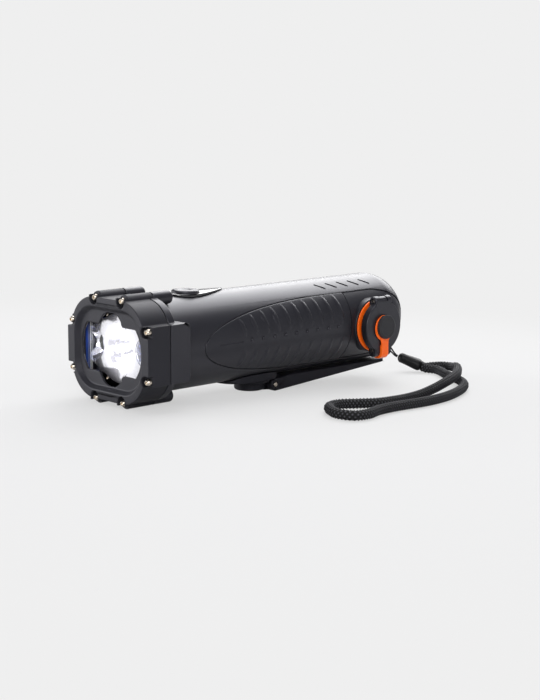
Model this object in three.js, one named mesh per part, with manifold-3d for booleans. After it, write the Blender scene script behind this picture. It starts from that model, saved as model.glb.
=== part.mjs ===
// Hand crank torch: a fluted-grip barrel with a square crown, a folding crank on its tail, a swivelling
// belt clip and a wrist strap. Millimetres, +Z up, on the surface that it lies on, with +Y towards the tail.
import * as THREE from 'three';
import { mergeVertices } from 'three/addons/utils/BufferGeometryUtils.js';
import Module from 'manifold-3d';

const wasm = await Module();
wasm.setup();

// Clearances that the whole torch shares
const fit = 0.3;                     // between pieces that touch or slide
const overrun = 1;                   // how far a cut runs past the face that it opens
const degree = Math.PI / 180;

// Places along the torch: the generator stands behind the cell, and three gear pairs lead to the crank.
const cellStart = 29;
const cellLength = 50;
const cellEnd = cellStart + cellLength;
const generatorGap = 3.3;
const statorRadius = 10;
const gearModule = 0.8;
const crankTeeth = 36;
const pinionTeeth = 10;
const idlerTeeth = 32;
const secondTeeth = 28;
const rotorTeeth = 8;
const backlash = 0.3;
const pitchRadius = (teeth) => teeth * gearModule / 2;
const spacing = (one, other) => pitchRadius(one) + pitchRadius(other) + backlash;
const rotorPlace = cellEnd + generatorGap + statorRadius;
const secondPlace = rotorPlace + spacing(secondTeeth, rotorTeeth);
const idlerPlace = secondPlace + spacing(idlerTeeth, pinionTeeth);
const crankPlace = idlerPlace + spacing(crankTeeth, pinionTeeth);
const tailReach = 29.2;              // from the crank's axis to the barrel's end
const barrelEnd = crankPlace + tailReach;

// Barrel
const barrelRadius = 20.6;
const barrelWall = 2;
const barrelDrop = 0.5;              // the barrel hangs this far below the crown's axis
const tailRound = 15;
const barrelSides = 30;
const barrelInner = barrelRadius - barrelWall;

// Crown: a bezel in front and a collar behind it, clamped by eight screws
const crownHalfWidth = 24.5;
const crownHalfHeight = 21.7;
const crownCorner = 15;
const seamPlace = 13.6;
const collarEnd = 24;
const padHalfWidth = 27;
const padHalfHeight = 12.4;
const padEnd = 22.8;
const padSeam = 12;
const padRound = 2;
const railPlace = 9;
const railWidth = 5.2;
const railTop = 24;
const railEnd = 26.5;
const railSeam = 15.5;
const spigotRadius = 19.4;            // the barrel's neck inside the collar

// Screws of the crown
const screwHead = 3.2;
const screwHeadHeight = 1.9;
const screwHeadSink = 0.2;
const screwShank = 1.8;
const screwLength = 19;
const notchWidth = 4.7;
const notchDepth = screwHeadSink + screwHeadHeight + fit;
const notchInset = 0.6;
const driveWidth = 1.2;
const driveDepth = 0.6;
const railScrewHeight = 21.4;
const padScrewPlace = 25.2;
const padScrewHeight = 10.3;

// Lens end
const rimHalfWidth = 22.4;
const rimHalfHeight = 17.9;
const rimCorner = 12.5;
const recessDepth = 3.3;
const recessDraft = 1.7;
const lipThickness = 1;
const lobeReach = 21.1;
const lobeHalfWidth = 9.6;
const archReach = 15.8;
const archHalfWidth = 7.6;
const lobeRound = 3.4;
const windowHalfWidth = 22.4;
const windowHalfHeight = 18.1;
const windowCorner = 12.4;
const gasketThickness = 0.7;
const gasketWidth = 0.9;
const lensThickness = 1.6;
const framePlate = 1.2;
const mainCupRadius = 10.5;
const mainCupDepth = 9.5;
const sideCupRadius = 5;
const sideCupDepth = 7.5;
const sideCupPlace = 15.9;
const cupWall = 0.7;
const ledRadius = 2.5;
const ledHeight = 1.6;
const boardThickness = 1.4;
const frameScrewWidthPlace = 8.2;
const frameScrewHeightPlace = 13.3;
const smallScrewHead = 2;
const smallScrewHeadHeight = 0.7;
const smallScrewShank = 1;
const smallScrewLength = 4;

// Side covers
const coverNose = 36.7;
const coverNoseLength = 85;
const coverTailLength = 26;
const coverEndGap = 3.6;             // from the cover's end to the barrel's
const coverEnd = barrelEnd - coverEndGap;
const coverHalfHeight = 15.7;
const coverMiddle = -1.2;
const coverNosePower = 2.5;
const coverTailPower = 2.2;
const coverSeam = 0.35;
const coverDepth = 6.5;              // how far from the axis plane a cover starts

// Grip ribs, bowed towards the tail
const ribCount = 10;
const ribPitch = 6.85;
const ribStart = 58.8;
const ribWidth = 1.3;
const ribProud = 0.55;
const ribBow = 3.6;
const ribMargin = 1.6;
const ribGap = 1.5;

// Slanted grooves on the top of the tail
const grooveCount = 5;
const groovePitch = 7.5;
const grooveReach = 25.8;            // from the crank's axis to the first groove
const grooveLength = 7;
const grooveWidth = 1;
const grooveDepth = 0.7;
const grooveSlant = 38;
const grooveAngle = 62;

// Switch on the top
const switchPlace = 43;
const plateLength = 26.6;
const plateFront = 9.2;
const plateHalfWidth = 7.4;
const plateThickness = 1.1;
const leafBellyShare = 4 / 3;
const buttonRadius = 6;
const buttonTop = 22;
const buttonHeight = 2.2;
const buttonTravel = 1;
const buttonDimple = 0.5;
const buttonRimShare = 0.8;
const buttonStem = 2.2;
const stemLength = 2.3;
const plungerRadius = 1.6;
const plungerHeight = 0.7;
const tactSize = 6;
const tactHeight = 2.6;

// Control board, hung from the top of the barrel
const controlHalfWidth = 9.6;
const controlStart = 33;
const postRadius = 2;
const postInset = 3.2;
const chipShares = [[-0.45, 0.47, 0.42, 0.1], [0.4, 0.55, 0.36, 0.16], [-0.35, 0.76, 0.3, 0.2]];
const chipHeight = 1.4;

// Battery and its cradle
const cellRadius = 9;
const cellHeight = -4.4;
const cellTip = 2.8;
const cellTipHeight = 1.2;
const saddleThickness = 4;
const saddleShares = [0.08, 0.5, 0.92];
const saddleTop = -6;
const trayThickness = 1.6;
const trayShare = 0.6;

// Crank on the right side of the tail
const crankHeight = -1.7;
const bossRadius = 13.6;
const bossFace = 20.7;
const bossBearing = 5;
const bossDepth = 11.5;
const crankRingOuter = 12.3;
const crankRingInner = 9.8;
const crankRingThickness = 0.8;
const hubRadius = 8.9;
const hubFace = 23.1;
const hubWeb = 0.5;                  // what the crank's screw clamps
const crankScrewHead = 2;
const shaftProud = 0.7;              // past the boss's face
const pinReach = 12.1;               // from the crank's axis to the arm's pin
const knobPinReach = 11.1;           // from the crank's axis to the knob's pin
const crankPinPlane = 24.8;
const crankPinRadius = 0.8;
const tongueHalfWidth = 2.4;
const knuckleRadius = 2.2;
const hubKnuckle = 2.3;
const armFace = 27;
const armDisc = 12;
const armDiscBack = 23.4;
const armHalfWidth = 5.6;
const slotReach = 2.6;
const armChamfer = 0.6;
const knobRing = 6.7;
const knobThickness = 0.9;
const knobPocket = 0.4;
const padDisc = 5.5;
const padHeight = 1.5;
const stemHalfWidth = 2.4;
const knobKnuckle = 2.8;
const knobSlotReach = 3.8;
const flareRadius = 3.4;

// Gear train from the crank to the generator
const gearThickness = 3;
const gearGap = 0.6;
const toothTipShare = 0.24;
const rootShare = 1.5;               // of the module, below the pitch line
const tipShare = 0.9;                // of the module, above it
const firstPlane = 3.8;              // where the crank's gear starts
const shaftRadius = 2.5;
const axleRadius = 1.5;
const gearPlate = 1.4;
const plateGap = 5.6;                // from the cell's end to the gear plates
const plateReach = 19.6;             // from the crank's axis to their rear end
const plateStart = cellEnd + plateGap;
const plateEnd = crankPlace + plateReach;
const controlEnd = plateStart - 2 * fit;
const plateHalfHeight = 13.6;
const plateCorner = 6;
const tabHalfWidth = 6;
const pillarInset = 2.6;
const pillarRadius = 2;
const rotorShaft = 1;
const statorDepth = 9;
const statorRim = 1.6;

// Belt clip
const swivelPlace = 81.5;
const swivelRadius = 7;
const swivelFlange = 9.4;
const flangeThickness = 1.3;
const swivelBottom = -27.1;
const saddlePadStart = 61.5;
const saddlePadEnd = 95;
const saddlePadHalfWidth = 11;
const saddlePadBottom = -21.9;
const clipPinPlace = 90.4;
const clipPinHeight = -25.2;
const clipKnuckle = 2.9;
const clipPinRadius = 1.1;
const clipHalfWidth = 8.5;
const lugHalfWidth = 4.2;
const clipEndGap = 7.4;              // from the clip's tip to the barrel's end
const clipEnd = barrelEnd - clipEndGap;
const clipTop = -21.6;
const clipTipThickness = 1.6;
const clipTipRound = 5;
const springWire = 0.6;
const springTurns = 4;
const springRadius = 1.9;
const springPitch = 1.05;

// Wrist strap and what holds it
const strapBarGap = 2.5;             // from the bar to the barrel's end
const strapBarPlace = barrelEnd - strapBarGap;
const strapBarHeight = -13;
const strapBarRadius = 0.9;
const strapNotchHalf = 3.6;
const strapBlockHalf = 5.6;
const strapNotchLength = 5.6;
const strapNotchFront = barrelEnd - strapNotchLength;
const strapNotchTop = -10.2;
const strapWall = 3;
const strapBlockFront = strapNotchFront - strapWall;
const strapBlockTop = -7.6;
const stringDiameter = 1.2;
const stringSpreadShare = 0.7;
const sleeveDiameter = 4.6;
const cordDiameter = 4.4;
const cordSides = 8;
const cordSteps = 56;

// Finishes
const finish = (color, roughness, metalness = 0) =>
  new THREE.MeshStandardMaterial({ color, roughness, metalness });
const satinBlack = finish('#2c2d2f', 0.5);
const glossBlack = finish('#17181a', 0.18);
const gripBlack = finish('#26272a', 0.62);
const orange = finish('#f26a1b', 0.45);
const steel = finish('#c9c4ba', 0.3, 1);
const chrome = finish('#f2f2f4', 0.06, 1);
const clear = finish('#e6eef8', 0.05);
const rubber = finish('#1b1b1c', 0.85);
const whiteNylon = finish('#e8e6df', 0.5);
const boardGreen = finish('#1f5a38', 0.5);
const copper = finish('#b4693a', 0.35, 1);
const cellBlue = finish('#2e5c8f', 0.4);
const ledYellow = finish('#f6f0c8', 0.4);
const cordBlack = finish('#17171a', 0.9);

// A closed three.js geometry as a solid, with its doubled points merged and its faces turned outwards.
function solid(geometry) {
  const bare = geometry.clone();
  for (const name of Object.keys(bare.attributes)) if (name !== 'position') bare.deleteAttribute(name);
  const merged = mergeVertices(bare);
  const place = merged.attributes.position;
  const corner = (index) => new THREE.Vector3().fromBufferAttribute(place, index);
  const index = merged.index.array;
  const faces = [];
  let volume = 0;
  for (let i = 0; i < index.length; i += 3) {
    const [a, b, c] = [index[i], index[i + 1], index[i + 2]];
    if (a === b || b === c || c === a) continue;
    faces.push([a, b, c]);
    volume += corner(a).dot(corner(b).cross(corner(c)));
  }
  const outward = volume < 0 ? faces.map(([a, b, c]) => [a, c, b]) : faces;
  return new wasm.Manifold(new wasm.Mesh({
    numProp: 3,
    vertProperties: new Float32Array(place.array),
    triVerts: new Uint32Array(outward.flat()),
  }));
}

const join = (first, ...others) => others.reduce((sum, next) => sum.add(next), first);
const cut = (first, ...others) => others.reduce((rest, next) => rest.subtract(next), first);

// The three ways that a section is laid: shapes are drawn in the plane across the axis that they run along.
const layAlong = {
  x: (from) => new THREE.Matrix4().set(0, 0, 1, from, 1, 0, 0, 0, 0, 1, 0, 0, 0, 0, 0, 1),
  y: (from, to) => new THREE.Matrix4().set(1, 0, 0, 0, 0, 0, -1, to, 0, 1, 0, 0, 0, 0, 0, 1),
  z: (from) => new THREE.Matrix4().makeTranslation(0, 0, from),
};

function extrude(shape, axis, from, to, curveSegments = 8) {
  const geometry = new THREE.ExtrudeGeometry(shape, { depth: to - from, bevelEnabled: false, curveSegments });
  return solid(geometry.applyMatrix4(layAlong[axis](from, to)));
}

// A profile of [radius, distance along the axis] pairs, turned round an axis through a place.
function turn(profile, axis, [x, y, z], sides = 24) {
  const points = profile.map(([radius, along]) => new THREE.Vector2(radius, along));
  const geometry = new THREE.LatheGeometry(points, sides);
  const stand = {
    x: new THREE.Matrix4().set(0, 1, 0, x, -1, 0, 0, y, 0, 0, 1, z, 0, 0, 0, 1),
    y: new THREE.Matrix4().makeTranslation(x, y, z),
    z: new THREE.Matrix4().set(1, 0, 0, x, 0, 0, -1, y, 0, 1, 0, z, 0, 0, 0, 1),
  };
  return solid(geometry.applyMatrix4(stand[axis]));
}

const rod = (radius, axis, place, from, to, sides = 16) =>
  turn([[0, from], [radius, from], [radius, to], [0, to]], axis, place, sides);

function block(xs, ys, zs) {
  const geometry = new THREE.BoxGeometry(xs[1] - xs[0], ys[1] - ys[0], zs[1] - zs[0]);
  geometry.translate((xs[0] + xs[1]) / 2, (ys[0] + ys[1]) / 2, (zs[0] + zs[1]) / 2);
  return solid(geometry);
}

// Points of a rounded rectangle, as many on each corner, so that two of them can be lofted.
function softRectangle(halfWidth, halfHeight, corner, steps = 4) {
  const points = [];
  for (let quarter = 0; quarter < 4; quarter += 1) {
    const sideX = quarter === 0 || quarter === 3 ? 1 : -1;
    const sideY = quarter < 2 ? 1 : -1;
    for (let step = 0; step <= steps; step += 1) {
      const angle = (quarter + step / steps) * Math.PI / 2;
      points.push([
        sideX * (halfWidth - corner) + corner * Math.cos(angle),
        sideY * (halfHeight - corner) + corner * Math.sin(angle),
      ]);
    }
  }
  return points;
}

const outline = (points) => new THREE.Shape(points.map(([x, y]) => new THREE.Vector2(x, y)));

// A tapering body between two like outlines that stand across the Y axis.
function taper(front, frontPlace, back, backPlace) {
  const count = front.length;
  const position = [];
  const ring = (points, place) => points.forEach(([x, z]) => position.push(x, place, z));
  ring(front, frontPlace);
  ring(back, backPlace);
  position.push(0, frontPlace, 0, 0, backPlace, 0);
  const index = [];
  for (let i = 0; i < count; i += 1) {
    const next = (i + 1) % count;
    index.push(i, count + i, next, next, count + i, count + next);
    index.push(2 * count, i, next, 2 * count + 1, count + next, count + i);
  }
  const geometry = new THREE.BufferGeometry();
  geometry.setAttribute('position', new THREE.Float32BufferAttribute(position, 3));
  geometry.setIndex(index);
  return solid(geometry);
}

// A body again, after a change of its geometry
function remade(body, change) {
  const { vertProperties, triVerts } = body.getMesh();
  const geometry = new THREE.BufferGeometry();
  geometry.setAttribute('position', new THREE.Float32BufferAttribute(vertProperties, 3));
  geometry.setIndex(Array.from(triVerts));
  return solid(change(geometry));
}

// A mirror image across the plane between left and right
const mirrored = (body) => remade(body, (geometry) => geometry.scale(-1, 1, 1));

// Parts of the assembly: the torch lies in a tilted group, and the strap on the surface beside it.
const handTorch = new THREE.Group();
const torch = new THREE.Group();
handTorch.add(torch);

function addPiece(group, name, body, material) {
  const { vertProperties, triVerts, numProp } = body.getMesh();
  const position = [];
  for (const corner of triVerts) {
    position.push(...vertProperties.slice(corner * numProp, corner * numProp + 3));
  }
  const geometry = new THREE.BufferGeometry();
  geometry.setAttribute('position', new THREE.Float32BufferAttribute(position, 3));
  geometry.computeVertexNormals();
  const mesh = new THREE.Mesh(geometry, material);
  mesh.name = name;
  group.add(mesh);
}

// Like pieces, each with its number.
const addCopies = (group, name, bodies, material) =>
  bodies.forEach((body, index) => addPiece(group, `${name}_${index + 1}`, body, material));

const barrelAxis = [0, 0, -barrelDrop];

// The crown as one block: rounded square, flat pads left and right, and two rails above and below.
function crownBlock() {
  const square = outline(softRectangle(crownHalfWidth, crownHalfHeight, crownCorner));
  const body = extrude(square, 'y', 0, collarEnd);
  const pad = new THREE.Shape();
  pad.moveTo(0, -padHalfHeight);
  pad.lineTo(padEnd - padRound, -padHalfHeight);
  pad.absarc(padEnd - padRound, padRound - padHalfHeight, padRound, -Math.PI / 2, 0);
  pad.absarc(padEnd - padRound, padHalfHeight - padRound, padRound, 0, Math.PI / 2);
  pad.lineTo(0, padHalfHeight);
  const pads = extrude(pad, 'x', -padHalfWidth, padHalfWidth, 4);
  const half = railWidth / 2;
  const section = new THREE.Shape();
  section.moveTo(half, 0);
  section.absarc(0, railTop - half, half, 0, Math.PI);
  section.lineTo(-half, 0);
  const side = new THREE.Shape();
  side.moveTo(0, 0);
  side.lineTo(railEnd, 0);
  side.absarc(railEnd - half, railTop - half, half, 0, Math.PI / 2);
  side.lineTo(0, railTop);
  const rail = extrude(section, 'y', 0, railEnd, 6).intersect(extrude(side, 'x', -half, half, 3));
  const railAt = (x, up) => remade(rail, (geometry) => geometry.scale(1, 1, up).translate(x, 0, 0));
  const rails = [1, -1].flatMap((side) => [1, -1].map((up) => railAt(side * railPlace, up)));
  return join(body, pads, ...rails);
}

// Everything in front of the stepped seam between bezel and collar, shifted back by a gap.
function frontOfSeam(gap) {
  const wide = padHalfWidth + overrun;
  const high = railTop + overrun;
  const railBlock = (side, up) => block(
    [side * railPlace - railWidth / 2 - fit, side * railPlace + railWidth / 2 + fit],
    [-overrun, railSeam + gap],
    up > 0 ? [crownHalfHeight, high] : [-high, -crownHalfHeight],
  );
  const [side, top] = [crownHalfWidth, crownHalfHeight];
  return join(
    block([-side, side], [-overrun, seamPlace + gap], [-top, top]),
    block([-wide, wide], [-overrun, padSeam + gap], [-high, high]),
    railBlock(1, 1), railBlock(-1, 1), railBlock(1, -1), railBlock(-1, -1),
  );
}

// Where the eight crown screws stand, and which way their notches open.
const crownScrews = [
  ...[1, -1].flatMap((side) => [1, -1].map((up) => [side * railPlace, up * railScrewHeight, 0, up])),
  ...[1, -1].flatMap((side) => [1, -1].map((up) => [side * padScrewPlace, up * padScrewHeight, side, 0])),
];

function notchAt([x, z, openX, openZ]) {
  const half = notchWidth / 2;
  const [insideX, insideZ] = [x - openX * notchInset, z - openZ * notchInset];
  const round = rod(half, 'y', [insideX, 0, insideZ], -overrun, notchDepth, 8);
  const reach = notchWidth + overrun;
  const span = (inside, open) => [inside - (open > 0 ? 0 : half), inside + (open < 0 ? 0 : half)];
  const [spanX, spanZ] = [span(insideX, openX), span(insideZ, openZ)];
  const outX = [Math.min(spanX[0], spanX[0] + openX * reach), Math.max(spanX[1], spanX[1] + openX * reach)];
  const outZ = [Math.min(spanZ[0], spanZ[0] + openZ * reach), Math.max(spanZ[1], spanZ[1] + openZ * reach)];
  return round.add(block(outX, [-overrun, notchDepth], outZ));
}

function crownScrew([x, z]) {
  const headEnd = screwHeadSink + screwHeadHeight;
  const dome = screwHeadHeight / 3;
  const body = turn([
    [0, screwHeadSink], [screwHead / 3, screwHeadSink], [screwHead / 2, screwHeadSink + dome],
    [screwHead / 2, headEnd], [screwShank / 2, headEnd], [screwShank / 2, screwLength], [0, screwLength],
  ], 'y', [x, 0, z], 6);
  return body.subtract(rod(driveWidth / 2, 'y', [x, 0, z], 0, screwHeadSink + driveDepth, 4));
}

const screwHole = ([x, z], from, to) => rod(screwShank / 2 + fit, 'y', [x, 0, z], from, to, 6);

// The four-lobed opening in front of the lens
function lobedOpening() {
  const wide = outline(softRectangle(lobeReach, lobeHalfWidth, lobeHalfWidth - fit, 4));
  const tall = outline(softRectangle(archHalfWidth, archReach, archHalfWidth - fit, 4));
  const lensFront = recessDepth + lipThickness + overrun;
  const cross = join(extrude(wide, 'y', 0, lensFront), extrude(tall, 'y', 0, lensFront));
  const corner = Math.min(lobeHalfWidth, archHalfWidth) + lobeRound;
  const fillet = (side, up) => {
    const web = block(
      side > 0 ? [0, corner] : [-corner, 0], [0, lensFront], up > 0 ? [0, corner + lobeRound / 2]
        : [-corner - lobeRound / 2, 0],
    );
    return web.subtract(rod(
      lobeRound, 'y', [side * (archHalfWidth + lobeRound), 0, up * (lobeHalfWidth + lobeRound)],
      -overrun, lensFront + overrun, 12,
    ));
  };
  const webs = [1, -1].flatMap((side) => [1, -1].map((up) => fillet(side, up)));
  const limit = lobeHalfWidth + lobeRound;
  return cross.add(join(...webs).intersect(block([-corner, corner], [0, lensFront], [-limit, limit])));
}

const lipBack = recessDepth + lipThickness;
const lensFront = lipBack + gasketThickness + 2 * fit;
const lensBack = lensFront + lensThickness;
const frameFront = lensBack + fit;
const frameBack = frameFront + framePlate;
const ledBoardFront = frameFront + mainCupDepth + cupWall + ledHeight / 2;
const spigotStart = ledBoardFront + boardThickness + fit;

// Bezel and collar
const windowOutline = softRectangle(windowHalfWidth, windowHalfHeight, windowCorner);
const windowPocket = softRectangle(windowHalfWidth + fit, windowHalfHeight + fit, windowCorner);
const crown = crownBlock();
const recess = taper(
  softRectangle(rimHalfWidth, rimHalfHeight, rimCorner), -fit,
  softRectangle(rimHalfWidth - recessDraft, rimHalfHeight - recessDraft, rimCorner - recessDraft),
  recessDepth,
);
const bezel = cut(
  crown.intersect(frontOfSeam(0)),
  recess, lobedOpening(),
  extrude(outline(windowPocket), 'y', lipBack, railEnd),
  ...crownScrews.map(notchAt),
  ...crownScrews.map((place) => screwHole(place, 0, railEnd)),
);
addPiece(torch, 'bezel', bezel, satinBlack);

const collarBore = rod(spigotRadius + fit, 'y', barrelAxis, 0, railEnd + overrun, barrelSides);
const barrelPath = rod(barrelRadius + fit, 'y', barrelAxis, collarEnd - fit, railEnd + overrun, barrelSides);
const collar = cut(
  crown.subtract(frontOfSeam(fit)), collarBore, barrelPath,
  ...crownScrews.map((place) => screwHole(place, 0, screwLength + fit)),
);
addPiece(torch, 'head_collar', collar, satinBlack);
addCopies(torch, 'bezel_screw', crownScrews.map(crownScrew), steel);

// Lens, gasket, frame, reflector and lamps
const gasket = cut(
  extrude(outline(windowOutline), 'y', lipBack + fit, lipBack + fit + gasketThickness),
  extrude(outline(softRectangle(
    windowHalfWidth - gasketWidth, windowHalfHeight - gasketWidth, windowCorner - gasketWidth,
  )), 'y', 0, lensBack),
);
addPiece(torch, 'lens_gasket', gasket, rubber);
addPiece(torch, 'lens', extrude(outline(windowOutline), 'y', lensFront, lensBack), clear);

const cups = [[0, mainCupRadius, mainCupDepth], [sideCupPlace, sideCupRadius, sideCupDepth],
  [-sideCupPlace, sideCupRadius, sideCupDepth]];

// A parabolic cup, open at the front, with a hole at its bottom for a lamp.
function cupBody(place, radius, depth, grow, from) {
  const rings = 2;
  const profile = [[0, frameFront + from]];
  for (let ring = 0; ring <= rings; ring += 1) {
    const share = ring / rings;
    profile.push([(radius + grow) * Math.sqrt(1 - share * (1 - (ledRadius / radius) ** 2)),
      frameFront + from + share * (depth - from + grow)]);
  }
  profile.push([0, frameFront + depth + grow]);
  return turn(profile, 'y', [place, 0, 0], 12);
}

const cupSkins = cups.map(([place, radius, depth]) => cupBody(place, radius, depth, cupWall, fit));
const cupHollows = cups.map(([place, radius, depth]) => cupBody(place, radius, depth, 0, 0));
const cupHoles = cups.map(([place, , depth]) =>
  rod(ledRadius, 'y', [place, 0, 0], frameFront + depth - cupWall, frameFront + depth + 2 * cupWall, 8));
const cupMouths = cups.map(([place, radius]) => rod(radius, 'y', [place, 0, 0], 0, frameFront + 2 * fit, 12));
const reflector = cut(join(...cupSkins), ...cupHollows, ...cupHoles, ...cupMouths);
addPiece(torch, 'reflector', reflector, chrome);

const frameScrews = [1, -1].flatMap((side) => [1, -1].map((up) =>
  [side * frameScrewWidthPlace, up * frameScrewHeightPlace]));
const frameOpening = cups.map(([place, radius]) =>
  rod(radius + cupWall + fit, 'y', [place, 0, 0], 0, frameBack + overrun, 12));
const frameHoles = frameScrews.flatMap(([x, z]) => [
  rod(smallScrewShank / 2 + fit, 'y', [x, 0, z], 0, frameBack + smallScrewLength, 6),
  rod(smallScrewHead / 2 + fit, 'y', [x, 0, z], 0, frameFront + smallScrewHeadHeight + fit / 2, 8),
]);
const framePosts = frameScrews.map(([x, z]) =>
  rod(smallScrewHead, 'y', [x, 0, z], frameFront, ledBoardFront - fit, 6));
const lampFrame = cut(
  join(extrude(outline(windowOutline), 'y', frameFront, frameBack), ...framePosts),
  ...frameHoles, ...frameOpening,
);
addPiece(torch, 'lamp_frame', lampFrame, satinBlack);

const frameHeadBack = frameFront + smallScrewHeadHeight;
const frameScrew = ([x, z]) => turn([
  [0, frameFront], [smallScrewHead / 2, frameFront], [smallScrewHead / 2, frameHeadBack],
  [smallScrewShank / 2, frameHeadBack], [smallScrewShank / 2, frameFront + smallScrewLength],
  [0, frameFront + smallScrewLength],
], 'y', [x, 0, z], 6);
addCopies(torch, 'frame_screw', frameScrews.map(frameScrew), steel);

const ledBoard = join(
  rod(spigotRadius, 'y', barrelAxis, ledBoardFront, ledBoardFront + boardThickness, 24),
  ...cups.map(([place, , depth]) => turn([
    [0, frameFront + depth], [ledRadius / 2, frameFront + depth],
    [ledRadius - fit, frameFront + depth + ledHeight / 2],
    [ledRadius - fit, ledBoardFront + fit], [0, ledBoardFront + fit],
  ], 'y', [place, 0, 0], 8)),
);
addPiece(torch, 'led_board', ledBoard, ledYellow);

// The barrel's outside and inside, with the round tail
function barrelForm(radius, end, round, start, spigot) {
  const arc = 3;
  const profile = [
    [0, start], [spigot, start], [spigot, collarEnd + fit], [radius, collarEnd + fit], [radius, end - round],
  ];
  for (let step = 1; step <= arc; step += 1) {
    const angle = step / arc * Math.PI / 2;
    profile.push([radius - round + round * Math.cos(angle), end - round + round * Math.sin(angle)]);
  }
  profile.push([0, end]);
  return turn(profile, 'y', barrelAxis, barrelSides);
}

const barrelOuter = barrelForm(barrelRadius, barrelEnd, tailRound, spigotStart, spigotRadius);
const innerRound = tailRound - barrelWall;
const innerEnd = barrelEnd - barrelWall;
const innerSpigot = spigotRadius - barrelWall;
const barrelHollow = barrelForm(barrelInner, innerEnd, innerRound, spigotStart - overrun, innerSpigot);
const barrelSkin = barrelOuter.subtract(barrelHollow);
const barrelRoom = barrelForm(barrelInner - fit, innerEnd - fit, innerRound, spigotStart, innerSpigot);

// Side view of a cover: a long parabolic nose and a short full tail.
function coverOutline(grow) {
  const steps = 7;
  const noseEnd = coverNose + coverNoseLength;
  const tailBegin = coverEnd - coverTailLength;
  const half = coverHalfHeight + grow;
  const top = [];
  for (let step = 1; step <= steps; step += 1) {
    const share = (step / steps) ** 2;
    const along = coverNose - grow + share * (noseEnd - coverNose + grow);
    top.push([along, half * Math.sqrt(1 - (1 - share) ** coverNosePower)]);
  }
  for (let step = 0; step < steps; step += 1) {
    const share = Math.sin(step / steps * Math.PI / 2);
    const rise = (1 - share ** coverTailPower) ** (1 / coverTailPower);
    top.push([tailBegin + share * (coverEnd + grow - tailBegin), half * rise]);
  }
  const bottom = top.map(([along, rise]) => [along, -rise]).reverse();
  return [[coverNose - grow, 0], ...top, [coverEnd + grow, 0], ...bottom]
    .map(([along, rise]) => [along, coverMiddle + rise]);
}

const coverPlan = extrude(outline(coverOutline(0)), 'x', coverDepth, barrelRadius + overrun);
const coverOpening = extrude(outline(coverOutline(coverSeam)), 'x', coverDepth, barrelRadius + overrun);

// Bowed ribs on a cover, each as long as the cover is high there.
function gripRibs() {
  const ringSpan = [ribStart - ribPitch, ribStart + (ribCount + 1) * ribPitch];
  const ring = (radius) => rod(radius, 'y', barrelAxis, ringSpan[0], ringSpan[1], barrelSides);
  const sleeve = ring(barrelRadius + ribProud).subtract(ring(barrelRadius - barrelWall / 2));
  const steps = 2;
  const bands = [];
  for (let rib = 0; rib < ribCount; rib += 1) {
    const start = ribStart + rib * ribPitch;
    const share = Math.min(1, (start - coverNose) / coverNoseLength);   // behind the nose, the full height
    const reach = coverHalfHeight * Math.sqrt(1 - (1 - share) ** coverNosePower) - ribMargin;
    for (const up of [1, -1]) {
      const edge = (offset, taperShare) => Array.from({ length: steps + 1 }, (_, step) => {
        const height = ribGap + (reach - ribGap) * step / steps;
        const bow = ribBow * (1 - (height / reach) ** 2);
        return [start + bow + offset * (1 - taperShare * step / steps), coverMiddle + up * height];
      });
      const band = [...edge(ribWidth / 2, 0), ...edge(-ribWidth / 2, 0).reverse()];
      bands.push(extrude(outline(band), 'x', coverDepth, barrelRadius + overrun));
    }
  }
  return join(...bands).intersect(sleeve);
}

const ribs = gripRibs();
const plainCover = barrelSkin.intersect(coverPlan).add(ribs);
addPiece(torch, 'cover_left', mirrored(plainCover), gripBlack);

const crankAxis = [0, crankPlace, crankHeight];
const bossCup = cut(
  join(plainCover, rod(bossRadius, 'x', crankAxis, bossDepth + overrun, bossFace, 30)),
  rod(bossRadius - barrelWall, 'x', crankAxis, 0, bossFace - barrelWall, 24),
);
const coverRight = cut(
  join(bossCup, rod(bossBearing, 'x', crankAxis, bossDepth, bossFace - barrelWall / 2, 16)),
  rod(shaftRadius + fit, 'x', crankAxis, 0, bossFace + overrun, 16),
);
addPiece(torch, 'cover_right', coverRight, gripBlack);

// Barrel shell with its openings, slanted grooves, switch hole, the board's posts and the strap's notch
const switchAxis = [0, switchPlace, 0];
const buttonHole = rod(buttonRadius + fit, 'z', switchAxis, barrelInner - barrelWall, buttonTop, 20);
function slantedGrooves() {
  const grooves = [];
  for (let index = 0; index < grooveCount; index += 1) {
    for (const side of [1, -1]) {
      const bar = new THREE.BoxGeometry(grooveWidth, grooveLength, 2 * grooveDepth);
      bar.rotateZ(side * grooveSlant * degree);
      bar.translate(0, 0, barrelRadius);
      bar.rotateY(side * (90 - grooveAngle) * degree);
      bar.translate(0, crankPlace - grooveReach + index * groovePitch, -barrelDrop);
      grooves.push(solid(bar));
    }
  }
  return grooves;
}

const stemEnd = buttonTop - buttonHeight - stemLength;
const boardTop = stemEnd - buttonTravel - plungerHeight - tactHeight - 2 * fit;
const boardPosts = [controlStart + postInset, controlEnd - postInset].flatMap((along) =>
  [1, -1].map((side) => [side * (controlHalfWidth - postInset), along]));
const posts = boardPosts.map(([x, y]) =>
  rod(postRadius, 'z', [x, y, 0], boardTop + fit, barrelInner - barrelDrop, 6).intersect(barrelOuter));
const postHoles = boardPosts.map(([x, y]) =>
  rod(smallScrewShank / 2 + fit, 'z', [x, y, 0], boardTop, boardTop + smallScrewLength, 6));
const strapBlock = block(
  [-strapBlockHalf, strapBlockHalf], [strapBlockFront, barrelEnd], [-barrelRadius, strapBlockTop],
).intersect(barrelOuter);
const strapNotch = block(
  [-strapNotchHalf, strapNotchHalf], [strapNotchFront, barrelEnd + overrun],
  [-barrelRadius - overrun, strapNotchTop],
);
const strapBarAxis = [0, strapBarPlace, strapBarHeight];
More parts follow.
